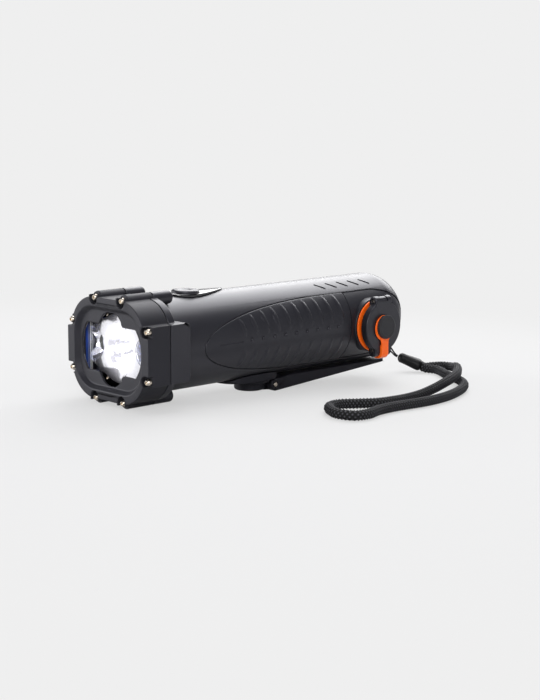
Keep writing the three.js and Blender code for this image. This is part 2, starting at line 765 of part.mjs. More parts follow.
const barrelShell = cut(
  join(cut(barrelSkin, coverOpening, mirrored(coverOpening)), ...posts, strapBlock),
  buttonHole, strapNotch, ...slantedGrooves(), ...postHoles,
  rod(strapBarRadius + fit, 'x', strapBarAxis, -strapBlockHalf + fit, strapBlockHalf - fit, 10),
  rod(clipPinRadius + fit, 'z', [0, swivelPlace, 0], -barrelRadius - overrun, overrun - barrelInner, 12),
);
addPiece(torch, 'barrel_shell', barrelShell, satinBlack);
const barHalf = strapBlockHalf - 2 * fit;
addPiece(torch, 'strap_bar', rod(strapBarRadius, 'x', strapBarAxis, -barHalf, barHalf, 10), steel);

// Switch plate, button, and the tact switch under it
const leaf = new THREE.Shape();
const leafNose = switchPlace - plateFront;
const leafBelly = plateHalfWidth * leafBellyShare;
const leafRear = switchPlace + plateHalfWidth / 2;
leaf.moveTo(0, leafNose);
leaf.bezierCurveTo(plateHalfWidth, leafNose, leafBelly, leafRear, 0, leafNose + plateLength);
leaf.bezierCurveTo(-leafBelly, leafRear, -plateHalfWidth, leafNose, 0, leafNose);
const plateLevel = (level) =>
  rod(barrelRadius + fit + level, 'y', barrelAxis, collarEnd, switchPlace + plateLength, barrelSides);
const switchPlate = cut(
  extrude(leaf, 'z', 0, barrelRadius + plateThickness + overrun, 8).intersect(plateLevel(plateThickness)),
  plateLevel(0), buttonHole,
);
addPiece(torch, 'switch_plate', switchPlate, glossBlack);

const buttonBottom = buttonTop - buttonHeight;
const button = turn([
  [0, buttonTop - buttonDimple], [buttonRadius / 3, buttonTop - buttonDimple], [buttonRadius / 2, buttonTop],
  [buttonRadius * buttonRimShare, buttonTop], [buttonRadius, buttonTop - buttonDimple],
  [buttonRadius, buttonBottom],
  [buttonStem, buttonBottom], [buttonStem, buttonBottom - stemLength], [0, buttonBottom - stemLength],
], 'z', switchAxis, 20);
addPiece(torch, 'switch_button', button, glossBlack);

const tactBottom = boardTop + fit;
const tactSwitch = join(
  block([-tactSize / 2, tactSize / 2], [switchPlace - tactSize / 2, switchPlace + tactSize / 2],
    [tactBottom, tactBottom + tactHeight]),
  rod(plungerRadius, 'z', switchAxis, tactBottom + tactHeight / 2, tactBottom + tactHeight + plungerHeight),
);
addPiece(torch, 'tact_switch', tactSwitch, glossBlack);

// Control board with its chips below, hung on two screws from the front posts and two from the rear ones
const boardBottom = boardTop - boardThickness;
const chips = chipShares.map(([side, along, wide, long]) => {
  const middle = controlStart + along * (controlEnd - controlStart);
  const half = long * (controlEnd - controlStart) / 2;
  const [left, right] = [(side - wide / 2) * controlHalfWidth, (side + wide / 2) * controlHalfWidth];
  return block([left, right], [middle - half, middle + half], [boardBottom - chipHeight, boardBottom + fit]);
});
const boardWidth = [-controlHalfWidth, controlHalfWidth];
const boardPlate = block(boardWidth, [controlStart, controlEnd], [boardBottom, boardTop]);
const controlBoard = cut(
  join(boardPlate, ...chips),
  ...boardPosts.map(([x, y]) => rod(smallScrewShank / 2 + fit, 'z', [x, y, 0], 0, boardTop + overrun, 6)),
);
addPiece(torch, 'control_board', controlBoard, boardGreen);
const boardHead = boardBottom - fit;
const boardScrewTip = boardTop + smallScrewLength - 2 * fit;
const boardScrew = ([x, y]) => turn([
  [0, boardHead - smallScrewHeadHeight], [smallScrewHead / 2, boardHead - smallScrewHeadHeight],
  [smallScrewHead / 2, boardHead], [smallScrewShank / 2, boardHead],
  [smallScrewShank / 2, boardScrewTip], [0, boardScrewTip],
], 'z', [x, y, 0], 6);
addCopies(torch, 'board_screw', [boardPosts[0], boardPosts[3]].map(boardScrew), steel);

// Battery on three saddles
const cellAxis = [0, 0, cellHeight];
const cell = turn([
  [0, cellStart - cellTipHeight], [cellTip, cellStart - cellTipHeight], [cellTip, cellStart],
  [cellRadius, cellStart], [cellRadius, cellEnd], [0, cellEnd],
], 'y', cellAxis, 20);
addPiece(torch, 'battery_cell', cell, cellBlue);
const saddles = saddleShares.map((share) => {
  const middle = cellStart + share * cellLength;
  return block([-barrelRadius, barrelRadius], [middle - saddleThickness / 2, middle + saddleThickness / 2],
    [-barrelRadius, saddleTop]);
});
const tray = block([-cellRadius * trayShare, cellRadius * trayShare], [cellStart, cellEnd],
  [-barrelRadius, cellHeight - cellRadius - fit + trayThickness / 2]);
const cradle = cut(join(...saddles, tray).intersect(barrelRoom),
  rod(cellRadius + fit, 'y', cellAxis, cellStart - overrun, cellEnd + overrun, 20));
addPiece(torch, 'battery_cradle', cradle, whiteNylon);

// Crank: ring, hub, folding arm and folding knob
addPiece(torch, 'crank_ring', cut(
  rod(crankRingOuter, 'x', crankAxis, bossFace + fit, bossFace + fit + crankRingThickness, 36),
  rod(crankRingInner, 'x', crankAxis, bossFace, bossFace + overrun + crankRingThickness, 36),
), orange);

const armPinHeight = crankHeight + pinReach;
const knobPinHeight = crankHeight - knobPinReach;
const tongueBack = bossFace + 2 * fit + crankRingThickness;
const bar = (shape, half) => extrude(shape, 'y', crankPlace - half, crankPlace + half, 6);
const tongueShape = new THREE.Shape();
tongueShape.moveTo(tongueBack, crankHeight + hubRadius / 2);
tongueShape.lineTo(hubFace - fit, crankHeight + hubRadius / 2);
tongueShape.lineTo(hubFace - fit, armPinHeight - hubKnuckle);
tongueShape.lineTo(crankPinPlane, armPinHeight - hubKnuckle);
tongueShape.absarc(crankPinPlane, armPinHeight, hubKnuckle, -Math.PI / 2, Math.PI / 2);
tongueShape.lineTo(tongueBack, armPinHeight + hubKnuckle);
const armPinAxis = [crankPinPlane, 0, armPinHeight];
const knobPinAxis = [crankPinPlane, 0, knobPinHeight];
const pinHole = (axis) =>
  rod(crankPinRadius + fit, 'y', axis, crankPlace - armDisc, crankPlace + armDisc, 8);
const shaftEnd = bossFace + shaftProud;
const hubWebFace = shaftEnd + fit + hubWeb;
const hub = cut(
  join(rod(hubRadius, 'x', crankAxis, bossFace + fit, hubFace, 24), bar(tongueShape, tongueHalfWidth)),
  rod(shaftRadius + fit, 'x', crankAxis, bossFace, shaftEnd + fit, 20),
  rod(smallScrewShank / 2 + fit, 'x', crankAxis, bossFace, hubFace + overrun, 8),
  rod(crankScrewHead + fit, 'x', crankAxis, hubWebFace, hubFace + overrun, 16),
  pinHole(armPinAxis),
);
addPiece(torch, 'crank_hub', hub, satinBlack);

const armShape = new THREE.Shape();
armShape.moveTo(armFace, knobPinHeight);
armShape.lineTo(armFace, armPinHeight);
armShape.absarc(crankPinPlane, armPinHeight, knuckleRadius, 0, Math.PI);
armShape.lineTo(crankPinPlane - knuckleRadius, armPinHeight - knuckleRadius);
armShape.lineTo(armDiscBack, armPinHeight - knuckleRadius);
armShape.lineTo(armDiscBack, knobPinHeight + knuckleRadius);
armShape.lineTo(crankPinPlane - knuckleRadius, knobPinHeight + knuckleRadius);
armShape.lineTo(crankPinPlane - knuckleRadius, knobPinHeight);
armShape.absarc(crankPinPlane, knobPinHeight, knuckleRadius, Math.PI, 2 * Math.PI);
const slotHalf = tongueHalfWidth + fit;
const armEnds = armDisc + knuckleRadius + overrun;
const arm = cut(
  join(
    turn([
      [0, armDiscBack], [armDisc - armChamfer, armDiscBack], [armDisc, armDiscBack + armChamfer],
      [armDisc, armFace - armChamfer], [armDisc - armChamfer, armFace], [0, armFace],
    ], 'x', crankAxis, 28),
    bar(armShape, armHalfWidth),
  ),
  block([bossFace, armFace + overrun], [crankPlace - slotHalf, crankPlace + slotHalf],
    [armPinHeight - slotReach, crankHeight + armEnds]),
  block([bossFace, armFace + overrun], [crankPlace - slotHalf, crankPlace + slotHalf],
    [crankHeight - armEnds, knobPinHeight + knobSlotReach]),
  pinHole(armPinAxis), pinHole(knobPinAxis),
);
addPiece(torch, 'crank_arm', arm, satinBlack);
const crankPinHalf = armHalfWidth - crankPinRadius;
const crankPin = (axis) =>
  rod(crankPinRadius, 'y', axis, crankPlace - crankPinHalf, crankPlace + crankPinHalf, 10);
addPiece(torch, 'arm_pin', crankPin(armPinAxis), steel);
addPiece(torch, 'knob_pin', crankPin(knobPinAxis), steel);

const knobBack = armFace + fit;
const knobFront = knobBack + knobThickness;
const knobShape = new THREE.Shape();
knobShape.moveTo(knobBack, crankHeight - knobRing / 2);
knobShape.lineTo(knobFront, crankHeight - knobRing / 2);
knobShape.lineTo(knobFront, knobPinHeight + knobThickness);
knobShape.absarc(crankPinPlane, knobPinHeight, knobKnuckle, -Math.PI / 5, -Math.PI / 2, true);
knobShape.lineTo(crankPinPlane - knuckleRadius / 2, knobPinHeight - knuckleRadius);
knobShape.absarc(crankPinPlane, knobPinHeight, knuckleRadius, -2 * Math.PI / 3, -3 * Math.PI / 2, true);
knobShape.lineTo(knobBack, knobPinHeight + knuckleRadius);
const flareReach = Math.sqrt((knobRing + flareRadius) ** 2 - (stemHalfWidth + flareRadius) ** 2);
const flareTouch = knobRing / (knobRing + flareRadius);
const flareHalf = (stemHalfWidth + flareRadius) * flareTouch;
const flareWeb = block(
  [knobBack, knobFront], [crankPlace - flareHalf, crankPlace + flareHalf],
  [crankHeight - flareReach, crankHeight - flareReach * flareTouch + fit / 2],
);
const flareCut = (side) => rod(
  flareRadius, 'x', [0, crankPlace + side * (stemHalfWidth + flareRadius), crankHeight - flareReach],
  knobBack - overrun, knobFront + overrun, 20,
);
const knob = cut(
  join(
    rod(knobRing, 'x', crankAxis, knobBack, knobFront, 32), bar(knobShape, stemHalfWidth),
    cut(flareWeb, flareCut(1), flareCut(-1)),
  ),
  rod(padDisc + fit, 'x', crankAxis, knobFront - knobPocket, knobFront + overrun, 28),
  pinHole(knobPinAxis),
);
addPiece(torch, 'crank_knob', knob, orange);
const padBack = knobFront - knobPocket + fit;
const padFace = padBack + padHeight;
addPiece(torch, 'finger_pad', turn([
  [0, padBack], [padDisc, padBack], [padDisc, padFace - armChamfer / 2],
  [padDisc - armChamfer / 2, padFace], [0, padFace],
], 'x', crankAxis, 28), rubber);

// Gear train: each wheel has a tooth, or for a pinion a gap, on the line to the axis that it meshes with.
function toothedWheel(teeth, from, to, along, firstTooth, bore) {
  const pitch = pitchRadius(teeth);
  const root = pitch - gearModule * rootShare;
  const tip = pitch + gearModule * tipShare;
  const step = 2 * Math.PI / teeth;
  const shape = new THREE.Shape();
  for (let tooth = 0; tooth < teeth; tooth += 1) {
    const middle = firstTooth + tooth * step;
    const corners = [[root, -1], [tip, -toothTipShare], [tip, toothTipShare]];
    corners.forEach(([radius, share], index) => {
      const angle = middle + share * step / 2;
      const spot = [along + radius * Math.cos(angle), crankHeight + radius * Math.sin(angle)];
      if (tooth === 0 && index === 0) shape.moveTo(...spot); else shape.lineTo(...spot);
    });
  }
  const hole = rod(bore, 'x', [0, along, crankHeight], from - overrun, to + overrun, 10);
  return extrude(shape, 'x', from, to).subtract(hole);
}

const planeStep = gearThickness + gearGap;
const planes = [firstPlane, firstPlane - planeStep, firstPlane - 2 * planeStep];
const planeEnd = (plane) => plane + gearThickness;
const gapAhead = (teeth) => Math.PI / teeth;
const largeWheel = (teeth, plane, along, shaft) =>
  toothedWheel(teeth, plane, planeEnd(plane), along, Math.PI, shaft + fit);
addPiece(torch, 'crank_gear', largeWheel(crankTeeth, planes[0], crankPlace, shaftRadius), whiteNylon);
const compound = (large, largePlane, smallPlane, along) => {
  const pinionStart = planeEnd(largePlane) - gearGap / 2;
  const pinion = toothedWheel(
    pinionTeeth, pinionStart, planeEnd(smallPlane), along, gapAhead(pinionTeeth), axleRadius + fit,
  );
  return join(largeWheel(large, largePlane, along, axleRadius), pinion);
};
addPiece(torch, 'idler_gear', compound(idlerTeeth, planes[1], planes[0], idlerPlace), whiteNylon);
addPiece(torch, 'second_gear', compound(secondTeeth, planes[2], planes[1], secondPlace), whiteNylon);

const leftPlateFace = planes[2] - fit;
const leftPlateBack = leftPlateFace - gearPlate;
const rightPlateBack = planeEnd(planes[0]) + fit;
const rightPlateFace = rightPlateBack + gearPlate;
const statorFace = leftPlateBack - fit;
const statorBack = statorFace - statorDepth;
const rotorAxis = [0, rotorPlace, crankHeight];
const magnetRadius = statorRadius - statorRim - 2 * fit;
const rotor = join(
  toothedWheel(rotorTeeth, planes[2], planeEnd(planes[2]), rotorPlace, gapAhead(rotorTeeth), rotorShaft / 2),
  rod(rotorShaft, 'x', rotorAxis, statorFace + overrun - statorDepth, rightPlateBack - fit, 12),
  rod(magnetRadius, 'x', rotorAxis, statorBack + statorRim + fit, statorFace - statorRim - fit, 16),
);
addPiece(torch, 'generator_rotor', rotor, steel);
const stator = cut(
  rod(statorRadius, 'x', rotorAxis, statorBack, statorFace, 20),
  rod(statorRadius - statorRim, 'x', rotorAxis, statorBack + statorRim, statorFace - statorRim, 16),
  rod(rotorShaft + fit, 'x', rotorAxis, statorBack - overrun, statorFace + overrun, 12),
);
addPiece(torch, 'generator_stator', stator, copper);

// Gear plates, joined by pillars on the right one, and the axles between them
const plateMiddle = (plateStart + plateEnd) / 2;
const plateHalfLength = (plateEnd - plateStart) / 2;
function gearPlateBody(back, face, holes) {
  const shape = outline(softRectangle(plateHalfLength, plateHalfHeight, plateCorner)
    .map(([along, up]) => [plateMiddle + along, crankHeight + up]));
  const tab = block(
    [back, face], [plateMiddle - tabHalfWidth, plateMiddle + tabHalfWidth], [-barrelRadius, barrelRadius],
  );
  return cut(join(extrude(shape, 'x', back, face), tab).intersect(barrelRoom), ...holes);
}

const plateHole = (radius, along) =>
  rod(radius + fit, 'x', [0, along, crankHeight], leftPlateBack - overrun, rightPlateFace + overrun, 10);
const pillarHeight = plateHalfHeight - plateCorner / 2;
const pillar = (along, height) =>
  rod(pillarRadius, 'x', [0, along, height], leftPlateFace + fit, rightPlateBack + fit, 8);
const pillars = [plateStart + pillarInset, plateEnd - pillarInset].flatMap((along) =>
  [1, -1].map((up) => pillar(along, crankHeight + up * pillarHeight)));
const axleHoles = [[shaftRadius, crankPlace], [axleRadius, idlerPlace], [axleRadius, secondPlace]]
  .map(([radius, along]) => plateHole(radius, along));
const leftHoles = [...axleHoles, plateHole(rotorShaft, rotorPlace)];
const leftPlate = gearPlateBody(leftPlateBack, leftPlateFace, leftHoles);
addPiece(torch, 'gear_plate_left', leftPlate, whiteNylon);
const rightPlate = join(gearPlateBody(rightPlateBack, rightPlateFace, axleHoles), ...pillars);
addPiece(torch, 'gear_plate_right', rightPlate, whiteNylon);
const axleAt = (along) => rod(axleRadius, 'x', [0, along, crankHeight], leftPlateBack, rightPlateFace, 12);
addPiece(torch, 'idler_axle', axleAt(idlerPlace), steel);
addPiece(torch, 'second_axle', axleAt(secondPlace), steel);
addPiece(torch, 'crank_shaft', cut(
  rod(shaftRadius, 'x', crankAxis, leftPlateBack, shaftEnd, 20),
  rod(smallScrewShank / 2 + fit, 'x', crankAxis, shaftEnd - smallScrewLength, shaftEnd + overrun, 8),
), steel);
const crankScrewBack = hubWebFace + fit / 2;
addPiece(torch, 'crank_screw', turn([
  [0, shaftEnd - smallScrewLength + fit], [smallScrewShank / 2, shaftEnd - smallScrewLength + fit],
  [smallScrewShank / 2, crankScrewBack], [crankScrewHead, crankScrewBack],
  [crankScrewHead, hubFace - fit / 2], [0, hubFace - fit / 2],
], 'x', crankAxis, 12), steel);

// Belt clip: saddle on the barrel, swivel on the saddle, arm on the swivel's pin
const saddlePlan = new THREE.Shape();
saddlePlan.moveTo(-saddlePadHalfWidth, saddlePadStart + saddlePadHalfWidth);
saddlePlan.absarc(0, saddlePadStart + saddlePadHalfWidth, saddlePadHalfWidth, Math.PI, 2 * Math.PI);
saddlePlan.absarc(0, saddlePadEnd - saddlePadHalfWidth, saddlePadHalfWidth, 0, Math.PI);
const swivelAxis = [0, swivelPlace, 0];
const clipSaddle = cut(
  extrude(saddlePlan, 'z', saddlePadBottom, -barrelDrop, 8),
  rod(barrelRadius + fit, 'y', barrelAxis, saddlePadStart - overrun, saddlePadEnd + overrun, barrelSides),
  rod(clipPinRadius + fit, 'z', swivelAxis, saddlePadBottom - overrun, 0, 12),
);
addPiece(torch, 'clip_saddle', clipSaddle, satinBlack);

const clipAxis = [0, clipPinPlace, clipPinHeight];
const swivelTop = saddlePadBottom - fit;
const lugShape = new THREE.Shape();
lugShape.moveTo(swivelPlace, swivelTop - flangeThickness / 2);
lugShape.lineTo(swivelPlace, swivelBottom);
lugShape.lineTo(clipPinPlace, clipPinHeight - clipKnuckle);
lugShape.absarc(clipPinPlace, clipPinHeight, clipKnuckle, -Math.PI / 2, Math.PI / 2);
const swivelTurn = turn([
  [0, swivelTop], [swivelFlange, swivelTop], [swivelFlange, swivelTop - flangeThickness],
  [swivelRadius, swivelTop - flangeThickness], [swivelRadius, swivelBottom + armChamfer],
  [swivelRadius - armChamfer, swivelBottom], [0, swivelBottom],
], 'z', swivelAxis, 20);
const swivelCut = clipPinPlace - clipKnuckle - 2 * fit;
const springSlot = springTurns * springPitch / 2 + springWire / 2 + fit;
const springSlotTop = clipPinHeight + springRadius + 2 * springWire;
const swivelHeadTop = swivelBottom + smallScrewHeadHeight + 2 * fit;
const swivel = cut(
  join(
    swivelTurn.subtract(block([-barrelRadius, barrelRadius], [swivelCut, barrelEnd], [-2 * barrelRadius, 0])),
    extrude(lugShape, 'x', -lugHalfWidth, lugHalfWidth, 8),
  ),
  rod(clipPinRadius + fit, 'x', clipAxis, -barrelRadius, barrelRadius, 16),
  block([-springSlot, springSlot], [swivelCut, barrelEnd], [-2 * barrelRadius, springSlotTop]),
  rod(clipPinRadius + fit, 'z', swivelAxis, swivelBottom - overrun, 0, 12),
  rod(smallScrewHead + 2 * fit, 'z', swivelAxis, swivelBottom - overrun, swivelHeadTop + fit, 16),
);
addPiece(torch, 'clip_swivel', swivel, satinBlack);
addPiece(torch, 'swivel_screw', turn([
  [0, swivelHeadTop - smallScrewHeadHeight], [smallScrewHead + fit, swivelHeadTop - smallScrewHeadHeight],
  [smallScrewHead + fit, swivelHeadTop], [clipPinRadius, swivelHeadTop], [clipPinRadius, -barrelInner - fit],
  [0, -barrelInner - fit],
], 'z', swivelAxis, 12), steel);

const armSide = new THREE.Shape();
const armRise = clipPinPlace + clipKnuckle + clipTipRound;
armSide.moveTo(clipEnd, clipTop - clipTipThickness);
armSide.lineTo(clipEnd, clipTop);
armSide.lineTo(armRise, clipTop);
armSide.lineTo(clipPinPlace + clipKnuckle + overrun, clipPinHeight + clipKnuckle);
armSide.lineTo(clipPinPlace, clipPinHeight + clipKnuckle);
armSide.absarc(clipPinPlace, clipPinHeight, clipKnuckle, Math.PI / 2, 3 * Math.PI / 2);
const armPlan = new THREE.Shape();
armPlan.moveTo(-clipHalfWidth, swivelPlace);
armPlan.lineTo(clipHalfWidth, swivelPlace);
armPlan.absarc(clipHalfWidth - clipTipRound, clipEnd - clipTipRound, clipTipRound, 0, Math.PI / 2);
armPlan.absarc(clipTipRound - clipHalfWidth, clipEnd - clipTipRound, clipTipRound, Math.PI / 2, Math.PI);
const lugSlot = lugHalfWidth + fit;
const clipArm = cut(
  extrude(armSide, 'x', -clipHalfWidth, clipHalfWidth, 9)
    .intersect(extrude(armPlan, 'z', clipPinHeight - 2 * clipKnuckle, 0, 4)),
  block([-lugSlot, lugSlot], [swivelPlace, clipPinPlace + clipKnuckle + 2 * fit], [-2 * barrelRadius, 0]),
  rod(clipPinRadius + fit, 'x', clipAxis, -barrelRadius, barrelRadius, 16),
);
addPiece(torch, 'clip_arm', clipArm, satinBlack);
const clipPinHalf = clipHalfWidth - fit / 2;
addPiece(torch, 'clip_pin', rod(clipPinRadius, 'x', clipAxis, -clipPinHalf, clipPinHalf, 16), steel);

// A tube along a route
function tube(points, diameter, sides, steps) {
  const section = outline(Array.from({ length: sides }, (_, side) => {
    const angle = side / sides * 2 * Math.PI;
    return [diameter / 2 * Math.cos(angle), diameter / 2 * Math.sin(angle)];
  }));
  const extrudePath = new THREE.CatmullRomCurve3(points, false, 'centripetal');
  return solid(new THREE.ExtrudeGeometry(section, { extrudePath, steps }));
}

const coilSteps = 8;
const coil = Array.from({ length: springTurns * coilSteps + 1 }, (_, step) => {
  const angle = step / coilSteps * 2 * Math.PI;
  return new THREE.Vector3(
    (step / coilSteps - springTurns / 2) * springPitch,
    clipPinPlace + springRadius * Math.cos(angle), clipPinHeight + springRadius * Math.sin(angle),
  );
});
addPiece(torch, 'clip_spring', tube(coil, springWire, 5, springTurns * coilSteps), steel);
const turnGaps = coil.flatMap((one, index) =>
  coil.slice(index + coilSteps / 2).map((other) => one.distanceTo(other) - springWire));
console.log(`clip_spring: least gap to itself ${Math.min(...turnGaps).toFixed(2)} mm`);

// The torch lies on its lower rails and on the clip's knuckle, so its tail is raised a little.
const railToKnuckle = Math.hypot(clipPinPlace, railTop + clipPinHeight);
const tilt = Math.atan2(-railTop - clipPinHeight, clipPinPlace) + Math.asin(clipKnuckle / railToKnuckle);
torch.rotation.x = tilt;
torch.updateMatrixWorld(true);
const box = new THREE.Box3().setFromObject(torch, true);
torch.position.set(-(box.min.x + box.max.x) / 2, -(box.min.y + box.max.y) / 2, -box.min.z);
torch.updateMatrixWorld(true);

// Wrist strap: a thin string looped round the bar, a sleeve, and one loop of braided cord on the surface
const strap = new THREE.Group();
handTorch.add(strap);
const point = (place) => new THREE.Vector3(...place);
const sleeveFront = point([-3.4, 102.2, 7.6]);
const sleeveBack = point([5, 110, 3.4]);
const sleeveWay = sleeveBack.clone().sub(sleeveFront).normalize();
const sleeveSide = sleeveWay.clone().cross(point([0, 0, 1])).normalize();
const barCentre = torch.localToWorld(point(strapBarAxis));
const stringWay = sleeveFront.clone().sub(barCentre).normalize();
const stringRise = point([1, 0, 0]).cross(stringWay).normalize();
const wrap = strapBarRadius + fit + stringDiameter / 2;
const stringEnd = sleeveFront.clone().addScaledVector(sleeveWay, -fit);
const reach = sleeveFront.distanceTo(barCentre);
const offBar = (along, rise) =>
  barCentre.clone().addScaledVector(stringWay, along).addScaledVector(stringRise, rise);
const spread = stringDiameter * stringSpreadShare;
const stringSide = (side) => [
  stringEnd.clone().addScaledVector(stringRise, side * spread),
  stringEnd.clone().addScaledVector(sleeveWay, -stringDiameter).addScaledVector(stringRise, side * spread),
  offBar(reach / 2, side * (spread + wrap) / 2), offBar(wrap, side * wrap), offBar(0, side * wrap),
  offBar(-wrap * Math.SQRT1_2, side * wrap * Math.SQRT1_2),
];
const stringRoute = [...stringSide(1), offBar(-wrap, 0), ...stringSide(-1).reverse()];
addPiece(strap, 'strap_string', tube(stringRoute, stringDiameter, 8, 20), cordBlack);

const cordRoute = [
  [6.6, 117.2, 2.7], [9.6, 120.8, 3.1], [14.2, 121.6, 3.3], [19.2, 118.6, 3.9],
  [24.2, 113.6, 5], [29, 108.4, 6.1], [34.8, 102, 6.9], [41.6, 93.9, 7], [48.4, 84.6, 7], [54.2, 74.7, 6.9],
  [58.2, 64.6, 6.2], [60.4, 54.2, 4.6], [61.5, 43.6, 3], [62.4, 33, 2.3], [63.4, 22.6, 2.3], [63, 12.8, 2.3],
  [59.7, 4, 2.3], [56.6, -4.2, 2.3], [58.6, -12.4, 2.3], [65, -18.4, 2.3], [72.4, -21.4, 2.3],
  [78.6, -18.8, 2.3],
  [79.3, -11, 2.3], [75.9, -1.2, 2.3], [74, 9.4, 2.3], [73.3, 20.4, 2.3], [72.8, 32, 2.3], [71, 44, 2.3],
  [67.8, 56, 2.3], [63.2, 67.6, 2.3], [57.2, 79, 2.3], [49.8, 88.8, 2.3], [41, 96, 2.3], [32.4, 100.8, 2.3],
  [26, 104.4, 2.3], [21.2, 107.8, 2.3], [17.2, 110.6, 2.3], [13.2, 111.9, 2.35],
].map(point);

// Both ends of the cord leave the sleeve square to its end, side by side.
const laneSpread = cordDiameter / 2 + fit / 2;
const lane = (side, along) =>
  sleeveBack.clone().addScaledVector(sleeveSide, side * laneSpread).addScaledVector(sleeveWay, along);
const straight = cordDiameter / 2;
const wholeCord = [
  lane(-1, fit), lane(-1, fit + straight), ...cordRoute, lane(1, fit + straight), lane(1, fit),
];
addPiece(strap, 'strap_cord', tube(wholeCord, cordDiameter, cordSides, cordSteps), cordBlack);

// The sleeve swells from one string to two cords side by side.
const sleeveLength = sleeveBack.distanceTo(sleeveFront);
const round = (across, high) => Array.from({ length: 16 }, (_, step) => {
  const angle = step / 16 * 2 * Math.PI;
  return [across * Math.cos(angle), high * Math.sin(angle)];
});
const sleeveBody = taper(
  round(sleeveDiameter / 2, sleeveDiameter / 2), 0,
  round(laneSpread + cordDiameter / 2, sleeveDiameter / 2), sleeveLength,
);
const sleeveLay = new THREE.Matrix4()
  .makeBasis(sleeveSide, sleeveWay, sleeveSide.clone().cross(sleeveWay)).setPosition(sleeveFront);
addPiece(strap, 'strap_sleeve', remade(sleeveBody, (geometry) => geometry.applyMatrix4(sleeveLay)), rubber);

export default handTorch;
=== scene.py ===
import math

import bmesh
import bpy
import numpy as np
from mathutils import Matrix, Vector


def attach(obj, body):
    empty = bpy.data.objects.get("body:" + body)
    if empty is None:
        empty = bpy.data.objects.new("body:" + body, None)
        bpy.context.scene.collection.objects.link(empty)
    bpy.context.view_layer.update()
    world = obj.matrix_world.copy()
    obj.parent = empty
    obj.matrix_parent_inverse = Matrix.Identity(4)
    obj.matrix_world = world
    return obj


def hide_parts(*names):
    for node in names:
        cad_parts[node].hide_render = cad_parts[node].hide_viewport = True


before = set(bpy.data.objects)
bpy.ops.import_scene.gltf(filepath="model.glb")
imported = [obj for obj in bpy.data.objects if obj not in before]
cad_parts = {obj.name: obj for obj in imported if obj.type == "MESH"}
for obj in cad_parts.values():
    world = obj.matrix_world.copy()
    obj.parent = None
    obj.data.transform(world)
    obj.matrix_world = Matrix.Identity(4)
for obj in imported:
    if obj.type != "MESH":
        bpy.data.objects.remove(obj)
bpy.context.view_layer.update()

# Camera
# The torch lies on its lower rails and its clip, so its tail is raised a little. The camera stands in
# front of its right side. All the torch's sizes below are millimetres in its own level frame.


def placed(name, data):
    """A new object in the scene."""
    made = bpy.data.objects.new(name, data)
    bpy.context.scene.collection.objects.link(made)
    return made


tilt, torch_x = math.radians(2.5987005), -0.0013
torch_place = (Matrix.Translation((torch_x, -0.0855406, 0.0239723)) @ Matrix.Rotation(tilt, 4, "X")
               @ Matrix.Scale(0.001, 4))
azimuth, elevation, roll = (math.radians(angle) for angle in (45.957, 9.7024, 0.2775))
eye_back, eye_right, eye_above = 625.214, 67.9722, 0.1702
back = Vector((math.sin(azimuth) * math.cos(elevation), -math.cos(azimuth) * math.cos(elevation),
               math.sin(elevation)))
level = Vector((math.cos(azimuth), math.sin(azimuth), 0))
rise = back.cross(level)
right = level * math.cos(roll) + rise * math.sin(roll)
above = rise * math.cos(roll) - level * math.sin(roll)
eye = torch_place @ (back * eye_back + right * eye_right + above * eye_above)
camera = placed("camera", bpy.data.cameras.new("camera"))
camera.data.lens, camera.data.sensor_width = 77.142857, 36
camera.data.clip_start, camera.data.clip_end = 0.01, 20
camera.matrix_world = (Matrix.Translation(eye) @ Matrix.Rotation(tilt, 4, "X")
                       @ Matrix((right, above, back)).transposed().to_4x4())
bpy.context.scene.camera = camera

# Wrist strap
# A braided polyester cord of 4.4 mm lies in one loop on the surface. Both its ends are moulded into a soft
# PVC sleeve, from which a thin twisted string loops round the bar in the tail's notch.


def colour(code):
    """An sRGB hex value as linear red, green, blue and alpha."""
    parts = [int(code[i:i + 2], 16) / 255 for i in (1, 3, 5)]
    return [part / 12.92 if part <= 0.04045 else ((part + 0.055) / 1.055) ** 2.4 for part in parts] + [1]


def add(tree, kind, inputs=None, **settings):
    """Adds a node to a tree with its settings, and fills or links its inputs."""
    made = tree.nodes.new(kind)
    for name, value in settings.items():
        setattr(made, name, value)
    for name, value in (inputs or {}).items():
        if isinstance(value, bpy.types.NodeSocket):
            tree.links.new(value, made.inputs[name])
        else:
            made.inputs[name].default_value = value
    return made


def start_material(name, **inputs):
    """A new material, with its shader's plain inputs set."""
    material = bpy.data.materials.new(name)
    material.use_nodes = True
    for title, value in inputs.items():
        opened(material)[1].inputs[title.replace("_", " ")].default_value = value
    return material


def opened(material):
    """A material's tree and its shader."""
    return material.node_tree, material.node_tree.nodes["Principled BSDF"]


def mottled(name, grain, detail, tones, dull=None, relief=None, **inputs):
    """A finish with clouds of a grain in millimetres. They vary its colour between two tones and, where
    given, its roughness between two values and its relief by a strength and a depth in metres."""
    finish = start_material(name, **inputs)
    tree, shader = opened(finish)
    place = add(tree, "ShaderNodeTexCoord")
    cloud = add(tree, "ShaderNodeTexNoise", {"Vector": place.outputs["Object"], "Scale": 1000 / grain,
                                             "Detail": detail}).outputs["Fac"]
    if tones:
        tone = add(tree, "ShaderNodeMix", {"Factor": cloud, "A": colour(tones[0]), "B": colour(tones[1])},
                   data_type="RGBA")
        tree.links.new(tone.outputs["Result"], shader.inputs["Base Color"])
    if dull:
        rough = add(tree, "ShaderNodeMapRange", {"Value": cloud, "To Min": dull[0], "To Max": dull[1]})
        tree.links.new(rough.outputs["Result"], shader.inputs["Roughness"])
    if relief:
        skin = add(tree, "ShaderNodeBump", {"Height": cloud, "Strength": relief[0], "Distance": relief[1]})
        tree.links.new(skin.outputs["Normal"], shader.inputs["Normal"])
    return finish


